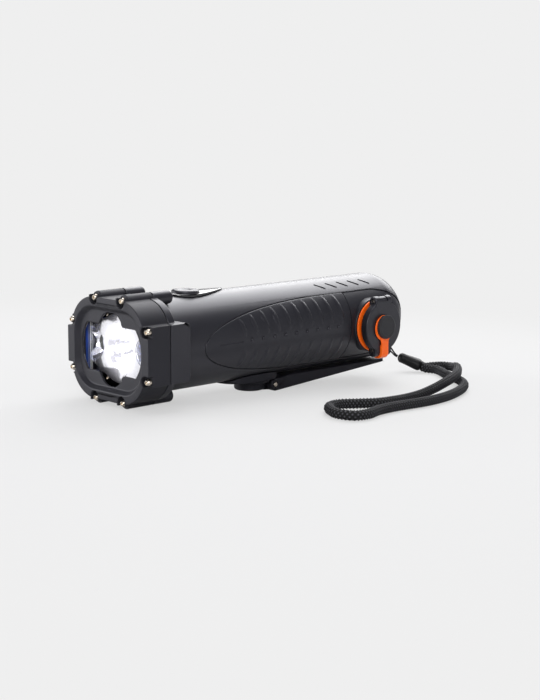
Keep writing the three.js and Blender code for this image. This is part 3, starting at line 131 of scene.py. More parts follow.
def smooth_route(stops, step):
    """Points a step apart on the centripetal curve through the stops."""
    stops = [np.array(stop, float) for stop in stops]
    stops = [2 * stops[0] - stops[1], *stops, 2 * stops[-1] - stops[-2]]
    fine = []
    for a, b, c, d in zip(stops, stops[1:], stops[2:], stops[3:]):
        before, here, after = (max(np.linalg.norm(q - p), 1e-9) ** 0.5 for p, q in ((a, b), (b, c), (c, d)))
        leave = ((b - a) / before - (c - a) / (before + here) + (c - b) / here) * here
        arrive = ((c - b) / here - (d - b) / (here + after) + (d - c) / after) * here
        for t in np.linspace(0, 1, 40, endpoint=False):
            fine.append((2 * t ** 3 - 3 * t ** 2 + 1) * b + (t ** 3 - 2 * t ** 2 + t) * leave
                        + (3 * t ** 2 - 2 * t ** 3) * c + (t ** 3 - t ** 2) * arrive)
    fine = np.array(fine + [stops[-2]])
    far = np.concatenate([[0], np.cumsum(np.linalg.norm(np.diff(fine, axis=0), axis=1))])
    places = np.linspace(0, far[-1], round(far[-1] / step) + 1)
    return np.column_stack([np.interp(places, far, fine[:, axis]) for axis in range(3)]), far[-1]


def rings(rows, sides):
    """The faces between rows of points, each row a ring."""
    return [(row * sides + i, row * sides + (i + 1) % sides, (row + 1) * sides + (i + 1) % sides,
             (row + 1) * sides + i) for row in range(rows - 1) for i in range(sides)]


def relief_tube(name, route, sides, radius):
    """A closed tube along a route whose radius follows radius(turns round, distance along). It keeps its UV
    map, which runs round and along in millimetres, and the relief as an attribute, from which the colour
    paints a highlight on the crests and shade in the hollows."""
    count = len(route)
    ways = np.gradient(route, axis=0)
    ways /= np.linalg.norm(ways, axis=1)[:, None]
    side = np.cross(ways[0], (0, 0, 1))
    along = np.concatenate([[0], np.cumsum(np.linalg.norm(np.diff(route, axis=0), axis=1))])
    turns = np.arange(sides) / sides
    points, heights = [], []
    for place, way, far in zip(route, ways, along):
        side = side - way * side.dot(way)
        side /= np.linalg.norm(side)
        over = np.cross(way, side)
        reach = radius(turns, far)
        heights.append(reach)
        points.append(place + reach[:, None] * (np.cos(turns * math.tau)[:, None] * side
                                                 + np.sin(turns * math.tau)[:, None] * over))
    points = [tuple(p) for p in np.concatenate(points)] + [tuple(route[0]), tuple(route[-1])]
    last = (count - 1) * sides
    faces = rings(count, sides)
    faces += [(len(points) - 2, (s + 1) % sides, s) for s in range(sides)]
    faces += [(len(points) - 1, last + s, last + (s + 1) % sides) for s in range(sides)]
    mesh = bpy.data.meshes.new(name)
    mesh.from_pydata([[part / 1000 for part in p] for p in points], [], faces)
    low, high = np.min(heights), np.max(heights)
    share = np.append((np.concatenate(heights) - low) / (high - low), [0, 0])
    mesh.attributes.new("relief", "FLOAT", "POINT").data.foreach_set("value", share.astype(np.float32))
    layer = mesh.uv_layers.new(name="along")
    for face in mesh.polygons:
        for loop, corner in zip(face.loop_indices, face.vertices):
            row, turn = divmod(min(corner, last + sides - 1), sides)
            if turn == 0 and any(mesh.loops[i].vertex_index % sides == sides - 1 for i in face.loop_indices):
                turn = sides
            layer.data[loop].uv = (turn / sides, along[row] / 1000)
    mesh.shade_smooth()
    return placed(name, mesh)


def draft(points, faces):
    """A closed mesh from points in its own unit, with its faces turned outwards."""
    shape = bmesh.new()
    corners = [shape.verts.new(point) for point in points]
    for face in faces:
        shape.faces.new([corners[i] for i in face])
    bmesh.ops.recalc_face_normals(shape, faces=shape.faces)
    made = placed("draft", bpy.data.meshes.new("draft"))
    shape.to_mesh(made.data)
    shape.free()
    return made


def loft(outlines):
    """A closed mesh through outlines with as many points each, flat at both ends."""
    points, count = [point for outline in outlines for point in outline], len(outlines[0])
    ends = [tuple(range(count)), tuple(range(len(points) - count, len(points)))]
    return draft(points, ends + rings(len(outlines), count))


sleeve_front, sleeve_back = np.array([-3.4, 102.2, 7.6]), np.array([5, 110, 3.4])
sleeve_way = (sleeve_back - sleeve_front) / np.linalg.norm(sleeve_back - sleeve_front)
sleeve_side = np.cross(sleeve_way, (0, 0, 1))
sleeve_side /= np.linalg.norm(sleeve_side)
cord_width, lane_spread = 4.4, 2.35


def lane(side, along):
    return sleeve_back + sleeve_side * side * lane_spread + sleeve_way * along


cord_stops = [
    lane(-1, 0.3), lane(-1, 2.5),
    [6.6, 117.2, 2.7], [9.6, 120.8, 3.1], [14.2, 121.6, 3.3], [19.2, 118.6, 3.9], [24.2, 113.6, 5],
    [29, 108.4, 6.1], [34.8, 102, 6.9], [41.6, 93.9, 7], [48.4, 84.6, 7], [54.2, 74.7, 6.9],
    [58.2, 64.6, 6.2], [60.4, 54.2, 4.6], [61.5, 43.6, 3], [62.4, 33, 2.3], [63.4, 22.6, 2.3],
    [63, 12.8, 2.3], [59.7, 4, 2.3], [56.6, -4.2, 2.3], [58.6, -12.4, 2.3], [65, -18.4, 2.3],
    [72.4, -21.4, 2.3], [78.6, -18.8, 2.3], [79.3, -11, 2.3], [75.9, -1.2, 2.3], [74, 9.4, 2.3],
    [73.3, 20.4, 2.3], [72.8, 32, 2.3], [71, 44, 2.3], [67.8, 56, 2.3], [63.2, 67.6, 2.3], [57.2, 79, 2.3],
    [49.8, 88.8, 2.3], [41, 96, 2.3], [32.4, 100.8, 2.3], [26, 104.4, 2.3], [21.2, 107.8, 2.3],
    [17.2, 110.6, 2.3], [13.2, 111.9, 2.35],
    lane(1, 2.5), lane(1, 0.3),
]
cord_route, cord_length = smooth_route(cord_stops, 0.28)
strands, strand_lay = 6, 10           # strands in each direction, and millimetres for one turn
braid_core, braid_relief = cord_width / 2 - 0.5, 0.6


def braid(turns, far):
    """Two sets of strands that pass over and under each other."""
    one, other = strands * (turns + far / strand_lay), strands * (turns - far / strand_lay)
    over = (np.floor(one) + np.floor(other)) % 2 == 0
    crest = np.where(over, np.sin(np.pi * (one % 1)), np.sin(np.pi * (other % 1)))
    middle = np.where(over, np.sin(np.pi * (other % 1)), np.sin(np.pi * (one % 1)))
    return braid_core + braid_relief * np.abs(crest) ** 0.8 * (0.3 + 0.7 * middle)


# Matt black polyester yarn. Its colour follows the strands' relief: the crests are painted lighter, a
# painted highlight, and the gaps between the strands are painted near black, a painted shade.
# Sixty yarns of 0.23 mm show round the cord, in flecks 0.59 mm long.
yarns_round, fleck_length = 60, 0.5882
braided_polyester = start_material("braided_polyester", Roughness=0.7, Specular_IOR_Level=0.3)
tree, shader = opened(braided_polyester)
relief = add(tree, "ShaderNodeAttribute", attribute_name="relief")
lie = add(tree, "ShaderNodeUVMap", uv_map="along")
fibres = add(tree, "ShaderNodeMapping", {"Vector": lie.outputs["UV"],
                                         "Scale": (yarns_round, 1000 / fleck_length, 1)})
yarn = add(tree, "ShaderNodeTexNoise", {"Vector": fibres.outputs["Vector"], "Scale": 1, "Detail": 3})
# Painted highlight on the strand crests and painted shade in the gaps, read from the relief.
ramp = add(tree, "ShaderNodeValToRGB", {"Fac": relief.outputs["Fac"]})
gap_painted_shade, crest_painted_highlight = ramp.color_ramp.elements
gap_painted_shade.color, crest_painted_highlight.color, gap_painted_shade.position = colour("#020202"), colour("#58585f"), 0.62
less = add(tree, "ShaderNodeMath", {0: yarn.outputs["Fac"], 1: 0.5}, operation="MULTIPLY")
fleck = add(tree, "ShaderNodeMix", {"Factor": less.outputs["Value"], "A": ramp.outputs["Color"],
                                    "B": colour("#050506")}, data_type="RGBA")
tree.links.new(fleck.outputs["Result"], shader.inputs["Base Color"])
fibre = add(tree, "ShaderNodeBump", {"Height": yarn.outputs["Fac"], "Strength": 0.5, "Distance": 0.00015})
tree.links.new(fibre.outputs["Normal"], shader.inputs["Normal"])

wrist_cord = relief_tube("wrist_cord", cord_route, 60, braid)
wrist_cord.data.materials.append(braided_polyester)

# Flexible PVC, moulded over the cord's ends: a soft sheen on a dark satin skin.
soft_pvc = mottled("soft_pvc", 1.111, 2, None, (0.38, 0.52), (0.12, 0.0003), Specular_IOR_Level=0.2,
                   Base_Color=colour("#070708"))

sleeve_length = np.linalg.norm(sleeve_back - sleeve_front)
sleeve_over = np.cross(sleeve_side, sleeve_way)
neck, mouth, mouth_rise, end_share = 2.5, 4.6, 0.7, 0.12
pinch_depth, pinch_width = 0.22, 1.3  # the valley between the cord's two ends
sleeve_rings = []
for share in [0, 0.006, 0.03, 0.07, 0.12, *np.linspace(0.18, 0.9, 13), 0.95, 0.985, 1]:
    swell = share * share * (3 - 2 * share)
    ends = min(1, (max(share, 0.002) / end_share) ** 0.35, 0.8 + 0.2 * ((1 - share) / end_share) ** 0.5)
    wide, high = (neck + (mouth - neck) * swell) * ends, (neck + mouth_rise * swell) * ends
    middle, sleeve_ring = sleeve_front + sleeve_way * share * sleeve_length, []
    for angle in np.arange(48) / 48 * math.tau:
        across = wide * math.cos(angle)
        pinch = 1 - pinch_depth * swell * math.exp(-(across / pinch_width) ** 2)
        point = middle + sleeve_side * across + sleeve_over * high * pinch * math.sin(angle)
        sleeve_ring.append(tuple(point / 1000))
    sleeve_rings.append(sleeve_ring)
strap_sleeve = loft(sleeve_rings)
strap_sleeve.name = strap_sleeve.data.name = "strap_sleeve_moulding"
strap_sleeve.data.shade_smooth()
strap_sleeve.data.materials.append(soft_pvc)

strap_bar = (0, 169.5, -13)
bar_middle = np.array(torch_place @ Vector(strap_bar)) * 1000
string_way = (sleeve_front - bar_middle) / np.linalg.norm(sleeve_front - bar_middle)
string_rise = np.cross((1, 0, 0), string_way)
string_rise /= np.linalg.norm(string_rise)
string_width, wrap, spread = 0.8, 1.4, 0.32
string_core, string_crest, string_lay = 0.33, 0.07, 3
string_reach = np.linalg.norm(sleeve_front - bar_middle)
string_end = sleeve_front - 0.3 * sleeve_way


def off_bar(along, over):
    return bar_middle + along * string_way + over * string_rise


def string_side(side):
    return [string_end + string_rise * side * spread,
            string_end - sleeve_way * string_width + string_rise * side * spread,
            off_bar(string_reach / 2, side * (spread + wrap) / 2), off_bar(wrap, side * wrap),
            off_bar(0, side * wrap), off_bar(-wrap * math.sqrt(0.5), side * wrap * math.sqrt(0.5))]


string_route, string_length = smooth_route(
    [*string_side(1), off_bar(-wrap, 0), *string_side(-1)[::-1]], 0.2)
strap_string = relief_tube("strap_string_twisted", string_route, 18, lambda turns, far: string_core
                           + string_crest * np.abs(np.cos(1.5 * math.tau * (turns + far / string_lay))))
strap_string.data.materials.append(braided_polyester)

for piece, node, slot in ((wrist_cord, "strap_cord", "cord"), (strap_sleeve, "strap_sleeve", "rubber"),
                          (strap_string, "strap_string", "cord")):
    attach(piece, "torch")
    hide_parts(node)

# Crown
# The bezel and the collar behind it are moulded in black ABS and clamped by eight screws. Their stepped
# seam runs round the crown, and the bezel has a recessed ring round a four-lobed opening.


def prism(outline, axis, start, end):
    """An outline across an axis, drawn out along it."""
    lay = {"x": lambda a, b, c: (c, a, b), "y": lambda a, b, c: (a, c, b), "z": lambda a, b, c: (a, b, c)}
    return loft([[lay[axis](a, b, c) for a, b in outline] for c in (start, end)])


def turned(profile, axis, middle, sides=96):
    """A profile of radius and distance pairs, turned about an axis through a middle."""
    points, rings, faces = [], [], []
    for radius, along in profile:
        count = sides if radius else 1
        rings.append((len(points), count))
        for i in range(count):
            a, b = radius * math.cos(i / sides * math.tau), radius * math.sin(i / sides * math.tau)
            spot = {"x": (along, a, b), "y": (a, along, b), "z": (a, b, along)}[axis]
            points.append([m + s for m, s in zip(middle, spot)])
    for (one, count), (other, next_count) in zip(rings, rings[1:]):
        for i in range(sides):
            ring = [one + i % count, one + (i + 1) % count,
                    other + (i + 1) % next_count, other + i % next_count]
            face = [corner for k, corner in enumerate(ring) if corner not in ring[:k]]
            if len(face) > 2:
                faces.append(face)
    return draft(points, faces)


def rod(radius, axis, middle, start, end, sides=64):
    return turned([(0, start), (radius, start), (radius, end), (0, end)], axis, middle, sides)


def block(xs, ys, zs):
    return prism([(xs[0], zs[0]), (xs[1], zs[0]), (xs[1], zs[1]), (xs[0], zs[1])], "y", *ys)


def baked(piece):
    """The piece with what its modifiers make as its plain mesh."""
    seen = piece.evaluated_get(bpy.context.evaluated_depsgraph_get())
    made = bpy.data.meshes.new_from_object(seen)
    piece.modifiers.clear()
    piece.data = made
    return piece


def combined(operation, target, *others):
    """Joins others to a draft, cuts them from it, or keeps what they share."""
    for other in others:
        step = target.modifiers.new(operation, "BOOLEAN")
        step.operation, step.object, step.solver = operation, other, "MANIFOLD"
        baked(target)
        bpy.data.objects.remove(other)
    return target


def joined(target, *others):
    return combined("UNION", target, *others)


def cut(target, *others):
    return combined("DIFFERENCE", target, *others)


def shared(target, *others):
    return combined("INTERSECT", target, *others)


def copied(piece, change=Matrix.Identity(4)):
    """A copy of a draft, moved or mirrored by a matrix."""
    other = placed("draft", piece.data.copy())
    other.data.transform(change)
    if change.determinant() < 0:
        other.data.flip_normals()
    return other


def soft_edges(piece, width, segments=3):
    """Rounds a draft's sharp edges, as a mould does."""
    shape = bmesh.new()
    shape.from_mesh(piece.data)
    bmesh.ops.remove_doubles(shape, verts=shape.verts, dist=0.003)
    bmesh.ops.dissolve_degenerate(shape, dist=0.003, edges=shape.edges)
    bmesh.ops.triangulate(shape, faces=[face for face in shape.faces if len(face.verts) > 4])
    shape.to_mesh(piece.data)
    shape.free()
    edge = piece.modifiers.new("edges", "BEVEL")
    edge.width, edge.segments, edge.limit_method = width, segments, "ANGLE"
    edge.angle_limit, edge.use_clamp_overlap = math.radians(38), False
    return baked(piece)


def finished(piece, name, body, slot, material, *nodes, form=None):
    """Sets a draft in its place as a smooth piece, and says what it rides on and stands for. A form gives
    the exact direction of a round surface at a point, or None off the surface."""
    piece.name = piece.data.name = name
    piece.data.shade_smooth()
    piece.data.set_sharp_from_angle(angle=math.radians(38))
    piece.modifiers.new("shading", "WEIGHTED_NORMAL").keep_sharp = True
    baked(piece)
    if form:
        mesh, turn = piece.data, torch_place.to_3x3().normalized()
        normals = [Vector(corner.vector) for corner in mesh.corner_normals]
        exact = [form(vertex.co) for vertex in mesh.vertices]
        for face in mesh.polygons:
            for loop, corner in zip(face.loop_indices, face.vertices):
                if exact[corner] is not None and exact[corner].dot(face.normal) > 0.75:
                    normals[loop] = exact[corner]
        mesh.transform(torch_place)
        mesh.normals_split_custom_set([tuple(turn @ normal) for normal in normals])
    else:
        piece.data.transform(torch_place)
    piece.data.materials.clear()
    piece.data.materials.append(material)
    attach(piece, body)
    if nodes:
        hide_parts(*nodes)
    return piece


def soft_rectangle(half_width, half_height, corner, steps=16):
    points = []
    for quarter, (side, up) in enumerate(((1, 1), (-1, 1), (-1, -1), (1, -1))):
        for step in range(steps + 1):
            angle = (quarter + step / steps) * math.pi / 2
            points.append((side * (half_width - corner) + corner * math.cos(angle),
                           up * (half_height - corner) + corner * math.sin(angle)))
    return points


def arc(a, b, radius, start, end, steps=12):
    """Points on an arc, its angles in quarter turns."""
    return [(a + radius * math.cos(angle * math.pi / 2), b + radius * math.sin(angle * math.pi / 2))
            for angle in np.linspace(start, end, steps + 1)]


quarters = [(side, up) for side in (1, -1) for up in (1, -1)]
crown_half_width, crown_half_height, crown_corner, crown_end = 24.5, 21.7, 15, 17.6
pad_half_width, pad_half_height, pad_end, pad_round, pad_seam = 27, 12.4, 22.8, 2, 12
rail_place, rail_radius, rail_height, rail_end, rail_round, rail_seam = 9, 2.9, 21.1, 26.5, 1, 15.5
main_seam, seam_gap = 13.6, 0.3


def crown_block():
    """Rounded square, flat pads left and right, and two half-round rails above and two below."""
    body = prism(soft_rectangle(crown_half_width, crown_half_height, crown_corner), "y", 0, crown_end)
    pad = [(0, -pad_half_height), *arc(pad_end - pad_round, pad_round - pad_half_height, pad_round, -1, 0),
           *arc(pad_end - pad_round, pad_half_height - pad_round, pad_round, 0, 1), (0, pad_half_height)]
    body = joined(body, prism(pad, "x", -pad_half_width, pad_half_width))
    profile = [(0, 0), (rail_radius, 0),
               *arc(rail_radius - rail_round, rail_end - rail_round, rail_round, 0, 1, 5), (0, rail_end)]
    rails = [turned(profile, "y", (side * rail_place, 0, up * rail_height), 40) for side, up in quarters]
    return joined(body, *rails)


def front_of_seam(gap):
    """The space in front of the seam, which runs further forward in the pads and back in the rails."""
    wide, high = pad_half_width + 1, rail_height + rail_radius + 1
    front = block((-crown_half_width, crown_half_width), (-1, main_seam + gap),
                  (-crown_half_height, crown_half_height))
    rails = [block((side * rail_place - rail_radius - seam_gap, side * rail_place + rail_radius + seam_gap),
                   (-1, rail_seam + gap), (crown_half_height - 0.01, high) if up > 0
                   else (-high, 0.01 - crown_half_height)) for side, up in quarters]
    return joined(front, block((-wide, wide), (-1, pad_seam + gap), (-high, high)), *rails)


crown_screws = [(side * rail_place, up * 21.4, 0, up) for side, up in quarters]
crown_screws += [(side * 25.2, up * 10.3, side, 0) for side, up in quarters]
notch_half, notch_depth, notch_inset = 2.35, 2.4, 0.6


def notch(x, z, open_x, open_z):
    """The open pocket that a screw's head stands in: round inside and straight to the outside."""
    outline = [(6, -notch_half), (6, notch_half), *arc(-notch_inset, 0, notch_half, 1, 3, 20)]
    turn = Matrix.Rotation(-math.atan2(open_z, open_x), 4, "Y")
    pocket = prism(outline, "y", -1, notch_depth)
    pocket.data.transform(Matrix.Translation((x, 0, z)) @ turn)
    return pocket


lobe_reach, lobe_half, lobe_bow, lobe_round = 19.8, 10.1, 15.3, 2.2
arch_reach, arch_half, arch_bow = 15.8, 7.6, 7.3
plate_front, plate_rear, plate_back = 2, 3.2, 5.3
bow_middle, bow_turn = lobe_reach - lobe_bow, math.asin(lobe_half / lobe_bow) / (math.pi / 2)
lobes = [*arc(bow_middle, 0, lobe_bow, -bow_turn, bow_turn, 24),
         *arc(-bow_middle, 0, lobe_bow, 2 - bow_turn, 2 + bow_turn, 24)]
opening = joined(prism(lobes, "y", -1, plate_back),
                 prism(soft_rectangle(arch_half, arch_reach, arch_bow), "y", -1, plate_back))
arch_middle, fillet_z = arch_reach - arch_bow, lobe_half + lobe_round
fillet_x = arch_half - arch_bow + math.sqrt((arch_bow + lobe_round) ** 2 - (fillet_z - arch_middle) ** 2)
fillet_touch = arch_middle + (fillet_z - arch_middle) * arch_bow / (arch_bow + lobe_round)
for side, up in quarters:
    web = block(sorted((0, side * fillet_x)), (-1, plate_back), sorted((0, up * fillet_touch)))
    opening = joined(opening, cut(web, rod(lobe_round, "y", (side * fillet_x, 0, up * fillet_z), -2, 6)))
rim_front, rim_back = soft_rectangle(22.55, 18.05, 12.65), soft_rectangle(20.6, 16.1, 10.7)
recess = loft([[(x, -0.3, z) for x, z in rim_front], [(x, plate_front, z) for x, z in rim_back]])

# Black ABS from a fine spark-eroded mould: satin, a little bluish, with a grain of about 0.15 mm that is
# drawn at 0.3 mm, as finer would not show.
satin_abs = mottled("satin_abs", 22.22, 4, ("#17171b", "#1e1e23"), (0.31, 0.39), IOR=1.53,
                    Specular_IOR_Level=0.5, Specular_Tint=colour("#f5f4ff"))
tree, shader = opened(satin_abs)
place, spark_grain = add(tree, "ShaderNodeTexCoord"), 0.3125
grain = add(tree, "ShaderNodeTexNoise", {"Vector": place.outputs["Object"], "Scale": 1000 / spark_grain,
                                         "Detail": 3})
texture = add(tree, "ShaderNodeBump", {"Height": grain.outputs["Fac"], "Strength": 0.25,
                                       "Distance": 0.00008})
tree.links.new(texture.outputs["Normal"], shader.inputs["Normal"])


def duller(material, name, least, most, gloss):
    """A copy of a plastic with another roughness and less gloss, as from a coarser mould."""
    other = material.copy()
    other.name = name
    tree, shader = opened(other)
    for node in tree.nodes:
        if node.bl_idname == "ShaderNodeMapRange":
            node.inputs["To Min"].default_value, node.inputs["To Max"].default_value = least, most
    shader.inputs["Specular IOR Level"].default_value = gloss
    return other


# The bezel comes from a coarser mould and so shines less, and the clip less again.
matt_abs = duller(satin_abs, "matt_abs", 0.48, 0.56, 0.34)
dark_abs = duller(satin_abs, "dark_abs", 0.4, 0.5, 0.2)

screw_notches = [notch(*spot) for spot in crown_screws]
bezel = cut(shared(crown_block(), front_of_seam(0)), recess, opening,
            prism(soft_rectangle(22.7, 18.4, 12.4), "y", plate_rear, 27), *screw_notches)
finished(soft_edges(bezel, 0.4), "bezel_moulding", "torch", "shell", matt_abs, "bezel")

barrel_middle, collar_bore, barrel_socket = (0, 0, -0.5), 19.7, 20.9


def barrel_rod(radius, start, end, sides=96):
    return rod(radius, "y", barrel_middle, start, end, sides)


collar = cut(crown_block(), front_of_seam(seam_gap), barrel_rod(collar_bore, 0, 28),
             barrel_rod(barrel_socket, crown_end, 28))
finished(soft_edges(collar, 0.4), "collar_moulding", "torch", "shell", satin_abs, "head_collar")

# Crown screws
# Eight plated steel machine screws hold the bezel on the collar, each with a low domed head and a hex
# socket. Geometry Nodes make one screw from its sizes and set it at each place.


def start_tree(name, *sizes):
    """A Geometry Nodes tree that takes points, sizes and a finish, and what it is given."""
    tree = bpy.data.node_groups.new(name, "GeometryNodeTree")
    kinds = [("Geometry", "Geometry"), *((size, "Float") for size in sizes), ("Finish", "Material")]
    for title, kind in kinds:
        tree.interface.new_socket(title, in_out="INPUT", socket_type="NodeSocket" + kind)
    tree.interface.new_socket("Geometry", in_out="OUTPUT", socket_type="NodeSocketGeometry")
    return tree, add(tree, "NodeGroupInput").outputs


def end_tree(tree, shape, finish):
    """Makes a tree's instances real, paints them and hands them out."""
    real = add(tree, "GeometryNodeRealizeInstances", {"Geometry": shape}).outputs["Geometry"]
    painted = add(tree, "GeometryNodeSetMaterial", {"Geometry": real, "Material": finish})
    add(tree, "NodeGroupOutput", {"Geometry": painted.outputs["Geometry"]})


def raised(tree, solid, height):
    """A part of the screw, moved up along its axis to the height of its middle."""
    lift = add(tree, "ShaderNodeCombineXYZ", {"Z": height})
    moved = add(tree, "GeometryNodeTransform", {"Geometry": solid.outputs["Mesh"],
                                                "Translation": lift.outputs["Vector"]})
    return moved.outputs["Geometry"]


def grown(points, tree, values, edges=()):
    """A draft whose modifier makes a tree's mesh from some points."""
    made = placed("draft", bpy.data.meshes.new("draft"))
    made.data.from_pydata(points, edges, [])
    grow = made.modifiers.new("grow", "NODES")
    grow.node_group = tree
    for item in tree.interface.items_tree:
        if item.in_out == "INPUT" and item.name in values:
            grow[item.identifier] = values[item.name]
    return made


machine_screw, given = start_tree("machine_screw", "Head radius", "Head height", "Shank radius",
                                  "Length", "Socket radius")
tree = machine_screw
head_height, head_radius, length = given["Head height"], given["Head radius"], given["Length"]
dome = add(tree, "ShaderNodeMath", {0: head_height, 1: 0.4}, operation="MULTIPLY").outputs["Value"]
wall = add(tree, "ShaderNodeMath", {0: head_height, 1: dome}, operation="SUBTRACT").outputs["Value"]
wall_middle = add(tree, "ShaderNodeMath", {0: wall, 1: -0.5}, operation="MULTIPLY").outputs["Value"]
crest_radius = add(tree, "ShaderNodeMath", {0: head_radius, 1: 0.68}, operation="MULTIPLY").outputs["Value"]
shank_middle = add(tree, "ShaderNodeMath", {0: length, 1: -0.5, 2: -0.1}, operation="MULTIPLY_ADD")
socket_depth = add(tree, "ShaderNodeMath", {0: dome, 1: 1.7}, operation="MULTIPLY").outputs["Value"]
head = add(tree, "GeometryNodeMeshCylinder", {"Vertices": 40, "Radius": head_radius, "Depth": wall})
crest = add(tree, "GeometryNodeMeshCone", {"Vertices": 40, "Radius Top": crest_radius,
                                           "Radius Bottom": head_radius, "Depth": dome})
shank = add(tree, "GeometryNodeMeshCylinder", {"Vertices": 24, "Radius": given["Shank radius"],
                                               "Depth": length})
socket = add(tree, "GeometryNodeMeshCylinder", {"Vertices": 6, "Radius": given["Socket radius"],
                                                "Depth": socket_depth})
whole = add(tree, "GeometryNodeMeshBoolean", operation="UNION")
for solid, height in ((head, wall_middle), (crest, 0), (shank, shank_middle.outputs["Value"])):
    tree.links.new(raised(tree, solid, height), whole.inputs["Mesh 2"])
screw = add(tree, "GeometryNodeMeshBoolean", {"Mesh 1": whole.outputs["Mesh"],
                                              "Mesh 2": raised(tree, socket, dome)},
            operation="DIFFERENCE").outputs["Mesh"]
facing_front = (math.pi / 2, 0, 0)
set_out = add(tree, "GeometryNodeInstanceOnPoints", {"Points": given["Geometry"], "Instance": screw,
                                                     "Rotation": facing_front})
end_tree(tree, set_out.outputs["Instances"], given["Finish"])

# Nickel-plated steel: bright, slightly warm, its roughness varied by fine wear.
plated_steel = mottled("plated_steel", 0.6667, 4, ("#d8cdbd", "#b9b0a4"), (0.16, 0.34), (0.2, 0.00005),
                       Metallic=1)
screw_y = 1.05
screws = grown([(x, screw_y, z) for x, z, *_ in crown_screws], machine_screw, {
    "Head radius": 1.35, "Head height": 1.9, "Shank radius": 0.9, "Length": 17.4, "Socket radius": 0.68,
    "Finish": plated_steel})
finished(baked(screws), "crown_screws", "torch", "steel", plated_steel,
         *(f"bezel_screw_{i}" for i in range(1, 9)))

# Lens and lamps
# Behind the opening stand a clear polycarbonate window on a rubber gasket, a black frame held by four small
# screws, and one metallised reflector with three cups round the lamps of the board.
window = (22.4, 18.1, 12.4)           # half its width, half its height and its corners
lens_front, lens_back, frame_front, frame_plate = 5.6, 7.2, 7.5, 1.2
board_front, board_thickness = 18.5, 1.4
cups = [(0, 8.8, 9.5), (17.4, 6.9, 7.5), (-17.4, 6.9, 7.5)]
cup_wall, lamp_radius, field_radius = 0.7, 2.5, 14.2

# Moulded rubber: quite matt, with a faint bloom.
gasket_rubber = mottled("gasket_rubber", 1.429, 4, ("#131314", "#1e1e20"), Roughness=0.85)
gasket = cut(prism(soft_rectangle(*window), "y", plate_rear, 5.3),
             prism(soft_rectangle(*(size - 0.9 for size in window)), "y", 3, 6))
finished(gasket, "window_gasket", "torch", "rubber", gasket_rubber, "lens_gasket")

# Clear polycarbonate with a hard coat, colourless. Near each side edge a band is painted blue, standing in
# for the light seen in the window's edge, and a thin line along its inner side is painted white, a painted
# highlight.
hard_coated_clear = start_material("hard_coated_clear", Roughness=0.02, IOR=1.45, Transmission_Weight=1,
                                   Specular_IOR_Level=0.35)
tree, shader = opened(hard_coated_clear)
place = add(tree, "ShaderNodeTexCoord")
apart = add(tree, "ShaderNodeSeparateXYZ", {"Vector": place.outputs["Object"]})
off_middle = add(tree, "ShaderNodeMath", {0: apart.outputs["X"], 1: torch_x}, operation="SUBTRACT")
sideways = add(tree, "ShaderNodeMath", {0: off_middle.outputs["Value"]}, operation="ABSOLUTE")
# A band near each side edge, painted blue: painted light seen in the window's edge.
edge = add(tree, "ShaderNodeMapRange", {"Value": sideways.outputs["Value"], "From Min": 0.0185,
                                        "From Max": 0.0205})
painted_edge_colour = add(tree, "ShaderNodeMix", {"Factor": edge.outputs["Result"], "A": colour("#ffffff"),
                                   "B": colour("#4264bc")}, data_type="RGBA")
# A thin line along the band's inner side, painted white: a painted highlight.
painted_glint_line = add(tree, "ShaderNodeMath", {0: sideways.outputs["Value"], 1: 0.0184, 2: 0.00018},
              operation="COMPARE")
painted_edge_colour = add(tree, "ShaderNodeMix", {"Factor": painted_glint_line.outputs["Value"], "A": painted_edge_colour.outputs["Result"],
                                   "B": colour("#ffffff")}, data_type="RGBA")
tree.links.new(painted_edge_colour.outputs["Result"], shader.inputs["Base Color"])
# Where the band and the line are painted, the window lets less light through, so the painted colour shows.
opaque_painted_share = add(tree, "ShaderNodeMath", {0: edge.outputs["Result"], 1: 0.55}, operation="MULTIPLY")
opaque_painted_share = add(tree, "ShaderNodeMath", {0: opaque_painted_share.outputs["Value"], 1: painted_glint_line.outputs["Value"]},
             operation="MAXIMUM")
clear = add(tree, "ShaderNodeMath", {0: 1, 1: opaque_painted_share.outputs["Value"]}, operation="SUBTRACT")
tree.links.new(clear.outputs["Value"], shader.inputs["Transmission Weight"])
lens = prism(soft_rectangle(*window), "y", lens_front, lens_back)
finished(soft_edges(lens, 0.2), "window_lens", "torch", "lens_clear", hard_coated_clear, "lens")


def bowl(x, radius, depth, grow, start):
    """A parabolic cup as a solid, open end in front."""
    profile = [(0, frame_front + start)]
    for share in np.linspace(0, 1, 25):
        profile.append(((radius + grow) * math.sqrt(1 - share * (1 - (lamp_radius / radius) ** 2)),
                        frame_front + start + share * (depth - start + grow)))
    return turned([*profile, (0, frame_front + depth + grow)], "y", (x, 0, 0), 72)


def lamp_field(grow, start, end):
    """The flat outline round the three cups: the middle one's circle, drawn out to the side ones."""
    middle, side, place = field_radius + grow, cups[1][1] + grow, cups[1][0]
    lean = math.acos((middle - side) / place) / (math.pi / 2)
    return prism([*arc(place, 0, side, -lean, lean), *arc(0, 0, middle, lean, 2 - lean),
                  *arc(-place, 0, side, 2 - lean, 2 + lean), *arc(0, 0, middle, 2 + lean, 4 - lean)],
                 "y", start, end)


# Vacuum metallised plastic: a mirror with the faint waviness of its moulding.
metallised = mottled("metallised", 3.846, 2, ("#fbfbfd", "#e6e6ee"), relief=(0.35, 0.0006), Metallic=1,
                     Roughness=0.13, Emission_Color=colour("#f6f4ff"))
# Round the lit middle lamp the reflector has a painted glow: an emission that fades outwards to a faint one
# over the rest, standing in for the lamp's light scattered by the coat.
tree, shader = opened(metallised)
place, lamp_spot = add(tree, "ShaderNodeTexCoord"), torch_place @ Vector((0, frame_front, 0))
off_lamp = add(tree, "ShaderNodeVectorMath", {0: place.outputs["Object"], 1: tuple(lamp_spot)},
               operation="DISTANCE")
